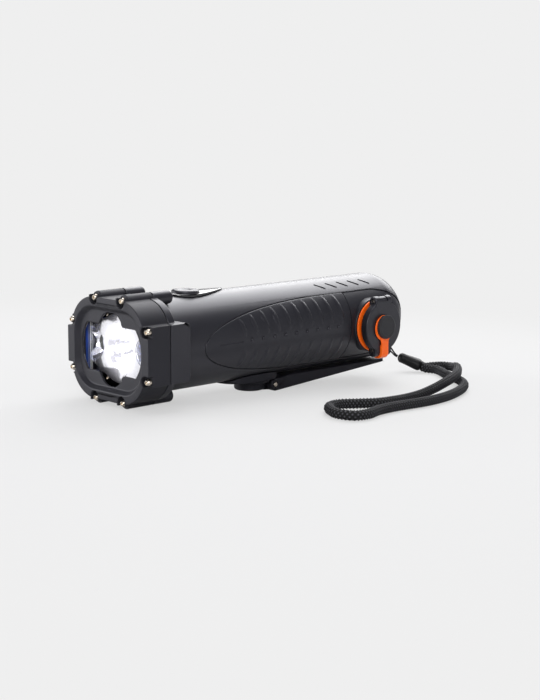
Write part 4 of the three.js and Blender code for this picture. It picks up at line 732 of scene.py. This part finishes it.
# Painted glow: its strength falls from the lamp outwards.
painted_glow = add(tree, "ShaderNodeMapRange", {"Value": off_lamp.outputs["Value"], "From Min": 0.006,
                                           "From Max": 0.0155, "To Min": 0.5, "To Max": 0.04},
              interpolation_type="SMOOTHSTEP")
tree.links.new(painted_glow.outputs["Result"], shader.inputs["Emission Strength"])
reflector = joined(lamp_field(cup_wall, frame_front, frame_front + frame_plate),
                   *(bowl(*cup, cup_wall, 0.3) for cup in cups))
reflector = cut(reflector, *(bowl(*cup, 0, 0) for cup in cups),
                *(rod(lamp_radius, "y", (x, 0, 0), frame_front + depth - 1, frame_front + depth + 2, 48)
                  for x, radius, depth in cups),
                *(rod(radius, "y", (x, 0, 0), 0, frame_front + 0.5, 72) for x, radius, depth in cups))
inside = tuple(size - 0.5 for size in window)
reflector = shared(reflector, joined(prism(soft_rectangle(*inside), "y", 0, 13.4),
                                     barrel_rod(18.9, 13, 30)))
finished(soft_edges(reflector, 0.12, 2), "reflector_moulding", "torch", "metallised", metallised,
         "reflector")

frame_screws = [(side * 8.8, up * 13.8) for side, up in quarters]
lamp_frame = joined(prism(soft_rectangle(*window), "y", frame_front, frame_front + frame_plate),
                    *(rod(2, "y", (x, 0, z), frame_front, board_front - 0.3, 24) for x, z in frame_screws))
lamp_frame = cut(lamp_frame, lamp_field(cup_wall + 0.1, 0, 12),
                 *(rod(1.3, "y", (x, 0, z), 0, frame_front + 0.85, 24) for x, z in frame_screws),
                 *(rod(0.8, "y", (x, 0, z), 0, 12.8, 16) for x, z in frame_screws))
finished(soft_edges(lamp_frame, 0.15, 2), "lamp_frame_moulding", "torch", "shell", satin_abs, "lamp_frame")
small_screws = grown([(x, frame_front + 0.28, z) for x, z in frame_screws], machine_screw, {
    "Head radius": 1, "Head height": 0.7, "Shank radius": 0.5, "Length": 3.7, "Socket radius": 0.45,
    "Finish": plated_steel})
finished(baked(small_screws), "lamp_frame_screws", "torch", "steel", plated_steel,
         *(f"frame_screw_{i}" for i in range(1, 5)))

# The board is white solder mask, and each lamp a white ceramic base under a clear dome that is lit.
white_board = mottled("white_board", 2, 2, ("#e9ebe6", "#d6d9d2"), Roughness=0.4)
lamp_board = barrel_rod(19.4, board_front, board_front + board_thickness)
lamp_board = joined(lamp_board, *(rod(2.2, "y", (x, 0, 0), frame_front + depth + 0.9, board_front + 0.3, 32)
                                  for x, radius, depth in cups))
finished(soft_edges(lamp_board, 0.15, 2), "lamp_board", "torch", "board", white_board, "led_board")
lit_lamp = start_material("lit_lamp", Roughness=0.2, Base_Color=colour("#fdfdff"), Emission_Strength=32)
tree, shader = opened(lit_lamp)
glow = add(tree, "ShaderNodeLayerWeight", {"Blend": 0.4})
shine = add(tree, "ShaderNodeMapRange", {"Value": glow.outputs["Facing"], "To Min": 1, "To Max": 0.6})
halo = add(tree, "ShaderNodeMix", {"Factor": shine.outputs["Result"], "A": colour("#cfd8ff"),
                                   "B": colour("#ffffff")}, data_type="RGBA")
tree.links.new(halo.outputs["Result"], shader.inputs["Emission Color"])
dome_radius, dome_rise = 2.2, 1.6
for index, (x, radius, depth) in enumerate(cups, 1):
    foot = frame_front + depth + 0.9
    dome = [(dome_radius * math.cos(angle), foot - dome_rise * math.sin(angle))
            for angle in np.linspace(0, math.pi / 2, 12)[:-1]]
    lamp = turned([(0, foot + 0.1), (dome_radius, foot + 0.1), *dome, (0, foot - dome_rise)],
                  "y", (x, 0, 0), 48)
    finished(lamp, f"lamp_dome_{index}", "torch", "board", lit_lamp)

# Barrel shell
# A round ABS shell with a domed tail. It has long openings for the grip covers, a hole for the switch,
# slanted grooves on top of the tail and a notch below it for the strap.
barrel_radius, barrel_wall, barrel_end, tail_round = 20.6, 2, 172, 15
spigot_start, spigot_radius, beyond = 15.2, 19.4, barrel_radius + 1
switch_middle, swivel_middle, swivel_bore = (0, 43, 0), (0, 81.5, 0), 1.4
groove_start, groove_pitch, groove_place, groove_slant = 117, 7.5, math.radians(28), math.radians(44)
groove_half, groove_reach, groove_depth = 0.65, 3, 0.4


def barrel_form(radius, end, bend, start, spigot):
    """The barrel as a solid, from its narrow spigot in the collar to its domed tail."""
    tail = arc(radius - bend, end - bend, bend, 0, 1, 19)[1:]
    return turned([(0, start), (spigot, start), (spigot, crown_end + 0.25), (radius, crown_end + 0.25),
                   (radius, end - bend), *tail, (0, end)], "y", barrel_middle, 144)


def barrel_core(depth):
    """The solid inside the barrel's surface, a depth below it."""
    return barrel_form(barrel_radius - depth, barrel_end - depth, tail_round - depth, spigot_start - 1,
                       spigot_radius - barrel_wall)


def barrel_skin():
    whole = barrel_form(barrel_radius, barrel_end, tail_round, spigot_start, spigot_radius)
    return cut(whole, barrel_core(barrel_wall))


def barrel_direction(point):
    """The exact direction of the barrel's round surface at a point on it."""
    x, y, z = point[0], point[1], point[2] + 0.5
    out, past = math.hypot(x, z), max(0, point[1] - (barrel_end - tail_round))
    core = barrel_radius - tail_round if past else 0
    reach = math.hypot(out - core, past) if past else out
    if abs(reach - (tail_round if past else barrel_radius)) > 0.02:
        return None
    return Vector((x * (out - core) / out, past, z * (out - core) / out)) / reach


cover_nose, cover_nose_length, cover_tail_length, cover_end = 36.7, 85, 26, 168.4
cover_half, cover_middle, cover_depth = 15.7, -1.2, 6.5
cover_seam, seam_depth, seam_foot = 0.18, 0.8, 0.02    # the seam is all but closed below its depth


def cover_height(share):
    """A cover's half height in its long parabolic nose."""
    return math.sqrt(1 - (1 - min(1, share)) ** 2.5)


def cover_outline(grow):
    half, top = cover_half + grow, []
    for share in np.linspace(0, 1, 41)[1:] ** 2:
        top.append((cover_nose - grow + share * (cover_nose_length + grow), half * cover_height(share)))
    begin = cover_end - cover_tail_length
    for share in np.sin(np.linspace(0, 1, 30, endpoint=False) * math.pi / 2):
        top.append((begin + share * (cover_end + grow - begin), half * (1 - share ** 2.2) ** (1 / 2.2)))
    return [(y, cover_middle + z) for y, z in
            [(cover_nose - grow, 0), *top, (cover_end + grow, 0), *((y, -z) for y, z in reversed(top))]]


def groove_bars():
    """The five pairs of slanted bars that cut the grooves."""
    bars = []
    for index in range(5):
        for side in (1, -1):
            bar = block((-groove_half, groove_half), (-groove_reach, groove_reach), (-groove_depth, 0.7))
            bar.data.transform(Matrix.Translation((0, groove_start + index * groove_pitch, barrel_middle[2]))
                               @ Matrix.Rotation(side * groove_place, 4, "Y")
                               @ Matrix.Translation((0, 0, barrel_radius))
                               @ Matrix.Rotation(-side * groove_slant, 4, "Z"))
            bars.append(bar)
    return bars


sides = ((cover_depth, beyond), (-beyond, -cover_depth))
barrel = cut(barrel_skin(), *(prism(cover_outline(seam_foot), "x", *span) for span in sides),
             *(cut(prism(cover_outline(cover_seam), "x", *span), barrel_core(seam_depth)) for span in sides))
strap_block = shared(block((-5.6, 5.6), (163.4, 172), (-20.6, -7.6)),
                     barrel_form(barrel_radius - 0.02, barrel_end - 0.02, tail_round, spigot_start,
                                 spigot_radius))
barrel = cut(joined(barrel, strap_block), rod(6.3, "z", switch_middle, 16, 22),
             block((-3.6, 3.6), (166.4, 173), (-21.6, -10.2)), rod(1.2, "x", strap_bar, -5.3, 5.3, 24),
             rod(swivel_bore, "z", swivel_middle, -beyond, -17, 24))
barrel = cut(soft_edges(barrel, 0.4), *groove_bars())
finished(barrel, "barrel_moulding", "torch", "shell", satin_abs, "barrel_shell", form=barrel_direction)

# Grip covers
# Two inset covers of slightly softer plastic, each with ten ribs that bow towards the tail, a row of small
# dimples along the middle and a fine parting line. The right one carries the crank's round boss.
crank_middle, boss_face, boss_radius = (0, 142.8, -1.7), 20.7, 12.7
rib_count, rib_pitch, rib_start, rib_bow, rib_margin, rib_gap = 10, 6.85, 57.8, 2.6, 1, 1.9
rib_radius, rib_sink, rib_taper, rib_least, rib_depth = 2.4, 1.9, 0.13, 0.12, 1.6
grip_end, grip_step, dimple_start, dimple_radius, dimple_turn = 127.6, 0.35, 63.8, 0.95, 0.891268

# Grip plastic: a shade duller than the shell, with a moulded leather-like grain of about 0.4 mm.
grip_plastic = mottled("grip_plastic", 16.67, 4, ("#1a1a1e", "#202025"), (0.33, 0.42), IOR=1.5,
                       Specular_IOR_Level=0.45, Specular_Tint=colour("#f5f4ff"))
tree, shader = opened(grip_plastic)
place, leather_grain = add(tree, "ShaderNodeTexCoord"), 0.4167
pebble = add(tree, "ShaderNodeTexVoronoi", {"Vector": place.outputs["Object"],
                                            "Scale": 1000 / leather_grain}, feature="SMOOTH_F1")
texture = add(tree, "ShaderNodeBump", {"Height": pebble.outputs["Distance"], "Strength": 0.2,
                                       "Distance": 0.00006})
tree.links.new(texture.outputs["Normal"], shader.inputs["Normal"])

rib_tree, given = start_tree("grip_ribs", "Rib radius")
lines = add(rib_tree, "GeometryNodeMeshToCurve", {"Mesh": given["Geometry"]}).outputs["Curve"]
where = add(rib_tree, "GeometryNodeSplineParameter").outputs["Factor"]
half_turn = add(rib_tree, "ShaderNodeMath", {0: where, 1: math.pi}, operation="MULTIPLY").outputs["Value"]
swell = add(rib_tree, "ShaderNodeMath", {0: half_turn}, operation="SINE").outputs["Value"]
full = add(rib_tree, "ShaderNodeMath", {0: swell, 1: rib_taper}, operation="POWER").outputs["Value"]
thickness = add(rib_tree, "ShaderNodeMath", {0: full, 1: rib_least}, operation="MAXIMUM").outputs["Value"]
section = add(rib_tree, "GeometryNodeCurvePrimitiveCircle", {"Resolution": 20,
                                                             "Radius": given["Rib radius"]})
swept = add(rib_tree, "GeometryNodeCurveToMesh", {"Curve": lines, "Profile Curve": section.outputs["Curve"],
                                                  "Scale": thickness, "Fill Caps": True})
end_tree(rib_tree, swept.outputs["Mesh"], given["Finish"])


def crank_rod(radius, start, end, sides=96):
    return rod(radius, "x", crank_middle, start, end, sides)


def on_barrel(y, z, sink):
    """A point on the right side of the barrel, a little below its surface."""
    return (math.sqrt((barrel_radius - sink) ** 2 - (z + 0.5) ** 2), y, z)


rib_points, rib_edges = [], []
for rib in range(rib_count):
    start = rib_start + rib * rib_pitch
    reach = cover_half * cover_height((start - cover_nose) / cover_nose_length) - rib_margin
    for up in (1, -1):
        heights = np.linspace(rib_gap, reach, 26)
        first = len(rib_points)
        rib_points += [on_barrel(start + rib_bow * (1 - (h / reach) ** 2), cover_middle + up * h, rib_sink)
                       for h in heights]
        rib_edges += [(first + i, first + i + 1) for i in range(25)]


def plain_cover():
    """The right cover without its boss."""
    step_core = barrel_form(barrel_radius - grip_step, barrel_end - grip_step, tail_round - grip_step,
                            100, 17)
    cover = cut(shared(barrel_skin(), prism(cover_outline(0), "x", cover_depth, beyond)),
                cut(barrel_rod(22, grip_end, 172, 144), step_core))
    soft_edges(cover, 0.4)
    ribs = grown(rib_points, rib_tree, {"Rib radius": rib_radius, "Finish": grip_plastic}, rib_edges)
    cover = joined(cover, cut(baked(ribs), barrel_core(rib_depth)))
    dimple = [(0, -dimple_radius), *arc(0, 0, dimple_radius, -dimple_turn, dimple_turn, 8),
              (0, dimple_radius)]
    dimples = [turned(dimple, "x", on_barrel(dimple_start + rib * rib_pitch, cover_middle + 1.3, -0.25), 20)
               for rib in range(rib_count - 1)]
    line_tube = cut(barrel_rod(21.2, 40, 130), barrel_rod(20.3, 39, 131))
    parting = shared(block((15, beyond), (45, 58.5), (cover_middle + 0.55, cover_middle + 1.05)), line_tube)
    return cut(cover, parting, *dimples)


right_cover = plain_cover()
left_cover = copied(right_cover, Matrix.Scale(-1, 4, (1, 0, 0)))
finished(left_cover, "left_cover_moulding", "torch", "grip", grip_plastic, "cover_left",
         form=barrel_direction)
boss = soft_edges(crank_rod(boss_radius, 12.5, boss_face), 0.35)
right_cover = cut(joined(right_cover, boss), crank_rod(11.6, 5, 18.7, 64))
right_cover = cut(joined(right_cover, crank_rod(5, 11.5, 19.7, 48)),
                  crank_rod(2.8, 0, 21.7, 48))
finished(right_cover, "right_cover_moulding", "torch", "grip", grip_plastic, "cover_right",
         form=barrel_direction)

# Switch
# A thin leaf-shaped plate in glossy black plastic is bonded on top of the barrel. A round button in satin
# ABS stands in its hole and is pressed down on the small switch below.


def bezier(a, b, c, d, steps=32):
    """Points on a curve from a to d, drawn by the handles b and c, without d itself."""
    return [tuple((1 - t) ** 3 * a[i] + 3 * t * (1 - t) ** 2 * b[i] + 3 * t * t * (1 - t) * c[i]
                  + t ** 3 * d[i] for i in (0, 1)) for t in np.linspace(0, 1, steps, endpoint=False)]


# Polished black plastic: deep gloss, broken only by fine handling marks.
gloss_plastic = mottled("gloss_plastic", 2.5, 6, ("#111114", "#1b1b1f"), (0.12, 0.26), IOR=1.5,
                        Coat_Weight=0.5, Coat_Roughness=0.05)
leaf_start, leaf_waist, leaf_tip, leaf_half = 33.8, 46.7, 65, 7.4
plate_arch, plate_arch_middle = 36, (0, 0, -15.1)
flank = leaf_half * 4 / 3
leaf = bezier((0, leaf_start), (leaf_half, leaf_start), (flank, leaf_waist), (0.3, leaf_tip))
leaf += bezier((-0.3, leaf_tip), (-flank, leaf_waist), (-leaf_half, leaf_start), (0, leaf_start))
plate = shared(prism(leaf, "z", 0, 24), rod(plate_arch, "y", plate_arch_middle, 24, 70, 288))
plate = cut(plate, barrel_rod(20.65, 23, 71, 144), rod(6.2, "z", switch_middle, 10, 30))
finished(soft_edges(plate, 0.4, 4), "switch_plate_moulding", "torch", "gloss_black", gloss_plastic,
         "switch_plate")
button = turned([(0, 21.5), (1.9, 21.52), (2.7, 21.75), (3.3, 22), (4.6, 22), (5.5, 21.85), (5.9, 21.5),
                 (6, 21.2), (6, 19.8), (2.2, 19.8), (2.2, 17.5), (0, 17.5)], "z", switch_middle, 72)
finished(button, "switch_button_moulding", "button", "gloss_black", satin_abs, "switch_button")

# Crank
# An orange ring is set in the boss's face. The hub, arm and pins are black, and the folding knob is orange
# with a dark rubber pad. Both hinges run on steel pins through the arm's lugs.
hub_radius, hub_face = 8.9, 23.1
pin_plane, arm_pin_height, knob_pin_height, pin_hole_radius = 24.8, 10.4, -12.8, 1.1
tongue_half, knuckle, hub_knuckle, arm_face, arm_disc, arm_back, arm_half = 2.4, 2.2, 1.9, 27, 12, 23.4, 5.6
arm_foot, knob_foot, stem_half, slot_gap = 1, 1.9, 2.3, 0.12
crank_y, crank_z = crank_middle[1], crank_middle[2]

# Orange ABS, semi-gloss: saturated, with slight swirls of pigment from the moulding.
orange_abs = mottled("orange_abs", 4.545, 3, ("#ff5f08", "#ff7014"), (0.34, 0.48), (0.1, 0.0002), IOR=1.53,
                     Specular_IOR_Level=0.4)
for node in orange_abs.node_tree.nodes:
    if node.bl_idname == "ShaderNodeTexNoise":
        node.inputs["Distortion"].default_value = 1.5


def bar(outline, half):
    """A side view of the crank, given as height and reach pairs, drawn out to both sides of its axis."""
    return prism(outline, "y", crank_y - half, crank_y + half)


ring = cut(crank_rod(12.3, 21, 21.8), crank_rod(9.8, 20, 23))
finished(soft_edges(ring, 0.28), "crank_ring_moulding", "torch", "orange", orange_abs, "crank_ring")


def pin_hole(height):
    return rod(pin_hole_radius, "y", (pin_plane, 0, height), crank_y - 14, crank_y + 14, 32)


tongue = [(22.1, crank_z + hub_radius / 2), (hub_face - 0.3, crank_z + hub_radius / 2),
          (hub_face - 0.3, arm_pin_height - hub_knuckle), (pin_plane, arm_pin_height - hub_knuckle),
          *arc(pin_plane, arm_pin_height, hub_knuckle, -1, 2, 24), (22.1, arm_pin_height)]
hub = joined(crank_rod(hub_radius, 21, hub_face), bar(tongue, tongue_half))
hub = cut(hub, crank_rod(2.8, 20, 21.7, 64), crank_rod(1.2, 20, 25, 24),
          crank_rod(2.3, 22.2, 25, 32), pin_hole(arm_pin_height))
finished(soft_edges(hub, 0.3), "crank_hub_moulding", "crank", "shell", satin_abs, "crank_hub")

arm_outline = [(arm_face, knob_pin_height - arm_foot), (arm_face, arm_pin_height),
               *arc(pin_plane, arm_pin_height, knuckle, 0, 2)[1:],
               (pin_plane - knuckle, arm_pin_height - knuckle), (arm_back, arm_pin_height - knuckle),
               (arm_back, knob_pin_height + knuckle), (pin_plane - knuckle, knob_pin_height + knuckle),
               *arc(pin_plane, knob_pin_height - arm_foot, knuckle, 2, 4)[:-1]]
arm = joined(crank_rod(arm_disc, arm_back, arm_face), bar(arm_outline, arm_half))
arm = soft_edges(arm, 0.55, 4)
tongue_span = (crank_y - tongue_half - slot_gap, crank_y + tongue_half + slot_gap)
stem_span = (crank_y - stem_half - slot_gap, crank_y + stem_half + slot_gap)
arm = cut(arm, rod(hub_knuckle + slot_gap, "y", (pin_plane, 0, arm_pin_height), *tongue_span, 48),
          block((boss_face, pin_plane), tongue_span, (arm_pin_height - 2.6, 14)),
          block((24.7, 28), tongue_span, (arm_pin_height - 0.2, 14)),
          block((boss_face, 28), stem_span, (-18, knob_pin_height + 4.45)),
          pin_hole(arm_pin_height), pin_hole(knob_pin_height))
finished(arm, "crank_arm_moulding", "arm", "shell", satin_abs, "crank_arm")

# The knob's ring lies a little low and forward under its pad, so it shows as a crescent beside it.
knob_back, knob_front, knob_ring, flare, heel = 27.25, 27.75, 6.1, 3.4, 2.8
ring_middle = (0, crank_y - 0.45, crank_z - 0.5)
stem_front, stem_bottom = knob_front + 0.35, knob_pin_height - knuckle - knob_foot
knob_side = [(knob_back, crank_z - knob_ring / 2), (knob_front, crank_z - knob_ring / 2),
             (stem_front, crank_z - knob_ring), *arc(stem_front - heel, stem_bottom + heel, heel, 0, -1),
             *arc(pin_plane - knuckle / 2, stem_bottom + knuckle / 2, knuckle / 2, -1, -2),
             *arc(pin_plane, knob_pin_height, knuckle, -2, -3), (knob_back, knob_pin_height + knuckle)]
flare_drop = math.sqrt((knob_ring + flare) ** 2 - (stem_half + flare) ** 2)
flare_touch = knob_ring / (knob_ring + flare)
flare_half = (stem_half + flare) * flare_touch
web_top = crank_z - flare_drop - 0.5
web = block((knob_back, knob_front + 0.2), (crank_y - flare_half, crank_y + flare_half),
            (web_top, crank_z - flare_drop * flare_touch - 0.35))
web = cut(web, *(rod(flare, "x", (0, crank_y + side * (stem_half + flare), web_top), 26, 30, 64)
                 for side in (1, -1)))
knob = joined(rod(knob_ring, "x", ring_middle, knob_back, knob_front, 96), bar(knob_side, stem_half), web)
knob = cut(knob, pin_hole(knob_pin_height))
finished(soft_edges(knob, 0.2), "crank_knob_moulding", "knob", "orange", orange_abs, "crank_knob")

# Rubber, moulded with a fine matt texture.
pad_rubber = mottled("pad_rubber", 0.3846, 2, ("#242427", "#2c2c30"), relief=(0.3, 0.00008), IOR=1.5,
                     Specular_IOR_Level=0.4, Roughness=0.62)
pad = turned([(0, knob_front + 0.05), (5.6, knob_front + 0.05), (5.6, 29), (5.45, 29.3), (4.75, 29.6),
              (4.55, 29.62), (4.4, 29.56), (4.3, 29.56), (0, 29.6)], "x", crank_middle, 96)
finished(pad, "finger_pad_moulding", "knob", "rubber", pad_rubber, "finger_pad")

# Belt clip
# A pad of black ABS under the barrel carries a swivelling foot, which a screw holds. The clip's springy
# arm is hinged to the foot on a steel pin.
saddle_start, saddle_end, saddle_half, saddle_bottom = 61.5, 95, 11, -21.9
swivel_y, swivel_bottom = swivel_middle[1], -27.1
clip_y, clip_z, clip_knuckle, clip_end = 90.4, -25.2, 2.9, 164.6
clip_pin, clip_pin_bore, clip_pin_half = 1.1, 1.4, 8.35
saddle_plan = [*arc(0, saddle_start + saddle_half, saddle_half, 2, 4, 32),
               *arc(0, saddle_end - saddle_half, saddle_half, 0, 2, 32)]
saddle = cut(prism(saddle_plan, "z", saddle_bottom, -0.5), barrel_rod(20.9, 60, 97, 144),
             rod(swivel_bore, "z", swivel_middle, -23, 0, 24))
finished(soft_edges(saddle, 0.4), "clip_saddle_moulding", "torch", "shell", dark_abs, "clip_saddle")


def hinge_rod(radius, half, sides=32):
    return rod(radius, "x", (0, clip_y, clip_z), -half, half, sides)


lug = [(swivel_y, -22.85), (swivel_y, swivel_bottom), (clip_y, clip_z - clip_knuckle),
       *arc(clip_y, clip_z, clip_knuckle, -1, 1, 24)]
foot = turned([(0, -22.2), (9.4, -22.2), (9.4, -23.5), (7, -23.5), (7, -26.5), (6.4, swivel_bottom),
               (0, swivel_bottom)], "z", swivel_middle, 72)
swivel_cut = clip_y - clip_knuckle - 0.6
foot = joined(cut(foot, block((-20, 20), (swivel_cut, 172), (-41, 0))), prism(lug, "x", -4.2, 4.2))
foot = cut(foot, hinge_rod(clip_pin_bore, 20), block((-2.7, 2.7), (swivel_cut, 172), (-41, -22.1)),
           rod(swivel_bore, "z", swivel_middle, -28.1, 0, 24),
           rod(2.6, "z", swivel_middle, -28.1, -25.5, 32))
finished(soft_edges(foot, 0.3), "clip_swivel_moulding", "swivel", "shell", dark_abs, "clip_swivel")

clip_top, tip, tip_round, clip_half = -21.6, 1.6, 2.2, 8.5
rise_y = clip_y + clip_knuckle + 5
clip_side = [(clip_end, clip_top - tip), (clip_end, clip_top), (rise_y, clip_top),
             (clip_y + clip_knuckle + 1, clip_z + clip_knuckle), (clip_y, clip_z + clip_knuckle),
             *arc(clip_y, clip_z, clip_knuckle, 1, 3, 28)[1:]]
clip_plan = [(-clip_half, swivel_y), (clip_half, swivel_y),
             *arc(clip_half - tip_round, clip_end - tip_round, tip_round, 0, 1),
             *arc(tip_round - clip_half, clip_end - tip_round, tip_round, 1, 2)]
clip = shared(prism(clip_side, "x", -clip_half, clip_half), prism(clip_plan, "z", -31, 0))
clip = cut(clip, block((-4.5, 4.5), (swivel_y, clip_y + clip_knuckle + 0.6), (-41, 0)),
           hinge_rod(clip_pin_bore, 20))
finished(soft_edges(clip, 0.45), "clip_arm_moulding", "clip", "shell", dark_abs, "clip_arm")
pin = soft_edges(hinge_rod(clip_pin, clip_pin_half, 40), 0.2)
finished(pin, "clip_hinge_pin", "swivel", "steel", plated_steel, "clip_pin")

# Inside pieces
# Screws, pins, gears, the generator, the battery and the boards are the frame's own solids, each with the
# finish of the real piece.


def dress(material, *nodes):
    for name in nodes:
        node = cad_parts[name]
        node.data.materials.clear()
        node.data.materials.append(material)


dress(plated_steel, "board_screw_1", "board_screw_2", "crank_screw", "swivel_screw", "arm_pin", "knob_pin",
      "crank_shaft", "idler_axle", "second_axle", "clip_spring", "strap_bar")
dress(gloss_plastic, "tact_switch")

# Natural acetal and nylon: milky white, slightly waxy.
white_nylon = mottled("white_nylon", 8.333, 3, ("#e9e6db", "#f3f1ea"), Roughness=0.45,
                      Subsurface_Weight=0.1)
dress(white_nylon, "crank_gear", "idler_gear", "second_gear", "gear_plate_left", "gear_plate_right",
      "battery_cradle")

# Glass-fibre board under green solder mask: the weave of the cloth shows faintly.
green_board = start_material("green_board", Roughness=0.35, Coat_Weight=0.3)
tree, shader = opened(green_board)
place, cloth_square = add(tree, "ShaderNodeTexCoord"), 0.625
weave = add(tree, "ShaderNodeTexChecker", {"Vector": place.outputs["Object"], "Scale": 1000 / cloth_square,
                                           "Color1": colour("#1d5c39"), "Color2": colour("#236743")})
tree.links.new(weave.outputs["Color"], shader.inputs["Base Color"])
dress(green_board, "control_board")

# PVC shrink sleeve round the cell, with the soft folds that shrinking leaves.
shrink_sleeve = mottled("shrink_sleeve", 11.11, 2, ("#27548a", "#2f6199"), relief=(0.2, 0.0005),
                        Roughness=0.25)
dress(shrink_sleeve, "battery_cell")

# Enamelled copper wire of 0.3 mm on the stator, in bands a turn apart that paint a highlight on each turn
# and shade between turns, and a ground steel rotor.
enamelled_wire = start_material("enamelled_wire", Metallic=1, Roughness=0.3)
tree, shader = opened(enamelled_wire)
place, wire_pitch = add(tree, "ShaderNodeTexCoord"), 0.3142
turns = add(tree, "ShaderNodeTexWave", {"Vector": place.outputs["Object"],
                                        "Scale": math.pi / 10 * 1000 / wire_pitch}, bands_direction="X")
# Painted highlight and painted shade, one band each per turn of wire.
wire = add(tree, "ShaderNodeMix", {"Factor": turns.outputs["Fac"], "A": colour("#8a4a22"),
                                   "B": colour("#c97a45")}, data_type="RGBA")
tree.links.new(wire.outputs["Result"], shader.inputs["Base Color"])
dress(enamelled_wire, "generator_stator")
ground_steel = mottled("ground_steel", 0.4545, 2, ("#8d8f92", "#aeb0b3"), (0.3, 0.45), Metallic=1)
dress(ground_steel, "generator_rotor")

# Floor and light
# A pale floor rises into a round backdrop. Far from the torch both show as one even light grey, and near it
# the floor shows partly as lit and partly as that grey, so the soft shadow stays, lighter.
floor_reach, floor_bend, floor_rise = 1.6, 0.4, 0.8
floor = turned([(0, 0), (0.3, 0), (0.7, 0), *arc(floor_reach, floor_bend, floor_bend, -1, 0, 13),
                (floor_reach + floor_bend, floor_rise)], "z", (0, 0, 0))
floor.name = floor.data.name = "floor"
floor.data.shade_smooth()
pale_paper = start_material("pale_paper", Roughness=0.9, Specular_IOR_Level=0.1,
                            Base_Color=colour("#cacaca"))
tree, shader = opened(pale_paper)
place = add(tree, "ShaderNodeTexCoord")
far_off = add(tree, "ShaderNodeVectorMath", {0: place.outputs["Object"]}, operation="LENGTH")
away = add(tree, "ShaderNodeMapRange", {"Value": far_off.outputs["Value"], "From Min": 0.14,
                                        "From Max": 0.42, "To Min": 0.62}, interpolation_type="SMOOTHSTEP")
ray = add(tree, "ShaderNodeLightPath")
seen = add(tree, "ShaderNodeMath", {0: ray.outputs["Is Camera Ray"], 1: ray.outputs["Is Transmission Ray"]},
           operation="MAXIMUM")
share = add(tree, "ShaderNodeMath", {0: seen.outputs["Value"], 1: away.outputs["Result"]},
            operation="MULTIPLY")
plain = add(tree, "ShaderNodeEmission", {"Color": colour("#efefef"), "Strength": 1})
mixed = add(tree, "ShaderNodeMixShader", {"Fac": share.outputs["Value"], 1: shader.outputs["BSDF"],
                                          2: plain.outputs["Emission"]})
tree.links.new(mixed.outputs["Shader"], tree.nodes["Material Output"].inputs["Surface"])
floor.data.materials.append(pale_paper)

world = bpy.data.worlds.new("studio")
bpy.context.scene.world = world
world.use_nodes = True
tree = world.node_tree
room = tree.nodes["Background"]
room.inputs["Color"].default_value, room.inputs["Strength"].default_value = colour("#f3f4ff"), 0.28
seen = add(tree, "ShaderNodeLightPath").outputs["Is Camera Ray"]
paper = add(tree, "ShaderNodeBackground", {"Color": colour("#efefef"), "Strength": 1})
mixed = add(tree, "ShaderNodeMixShader", {"Fac": seen, 1: room.outputs["Background"],
                                          2: paper.outputs["Background"]})
tree.links.new(mixed.outputs["Shader"], tree.nodes["World Output"].inputs["Surface"])


def soft_light(name, spot, aim, size, power):
    lamp = bpy.data.lights.new(name, "AREA")
    lamp.shape, lamp.size, lamp.size_y, lamp.energy = "RECTANGLE", *size, power
    stand = placed(name, lamp)
    stand.location = spot
    stand.rotation_euler = (Vector(aim) - Vector(spot)).to_track_quat("-Z", "Y").to_euler()
    stand.visible_camera = False


soft_light("top_softbox", (0, 0.1, 1.3), (0, 0.02, 0), (1.0, 0.8), 7)
soft_light("back_softbox", (-0.5, 0.85, 0.8), (0, 0.02, 0), (1.1, 1.0), 18)
soft_light("front_softbox", (-0.95, -0.9, 0.27), (0, 0, 0.02), (0.9, 0.5), 11)
soft_light("fill_softbox", (0.95, -0.85, 0.6), (0, 0, 0.02), (0.7, 0.7), 11)

bpy.context.scene.view_settings.view_transform = "Standard"
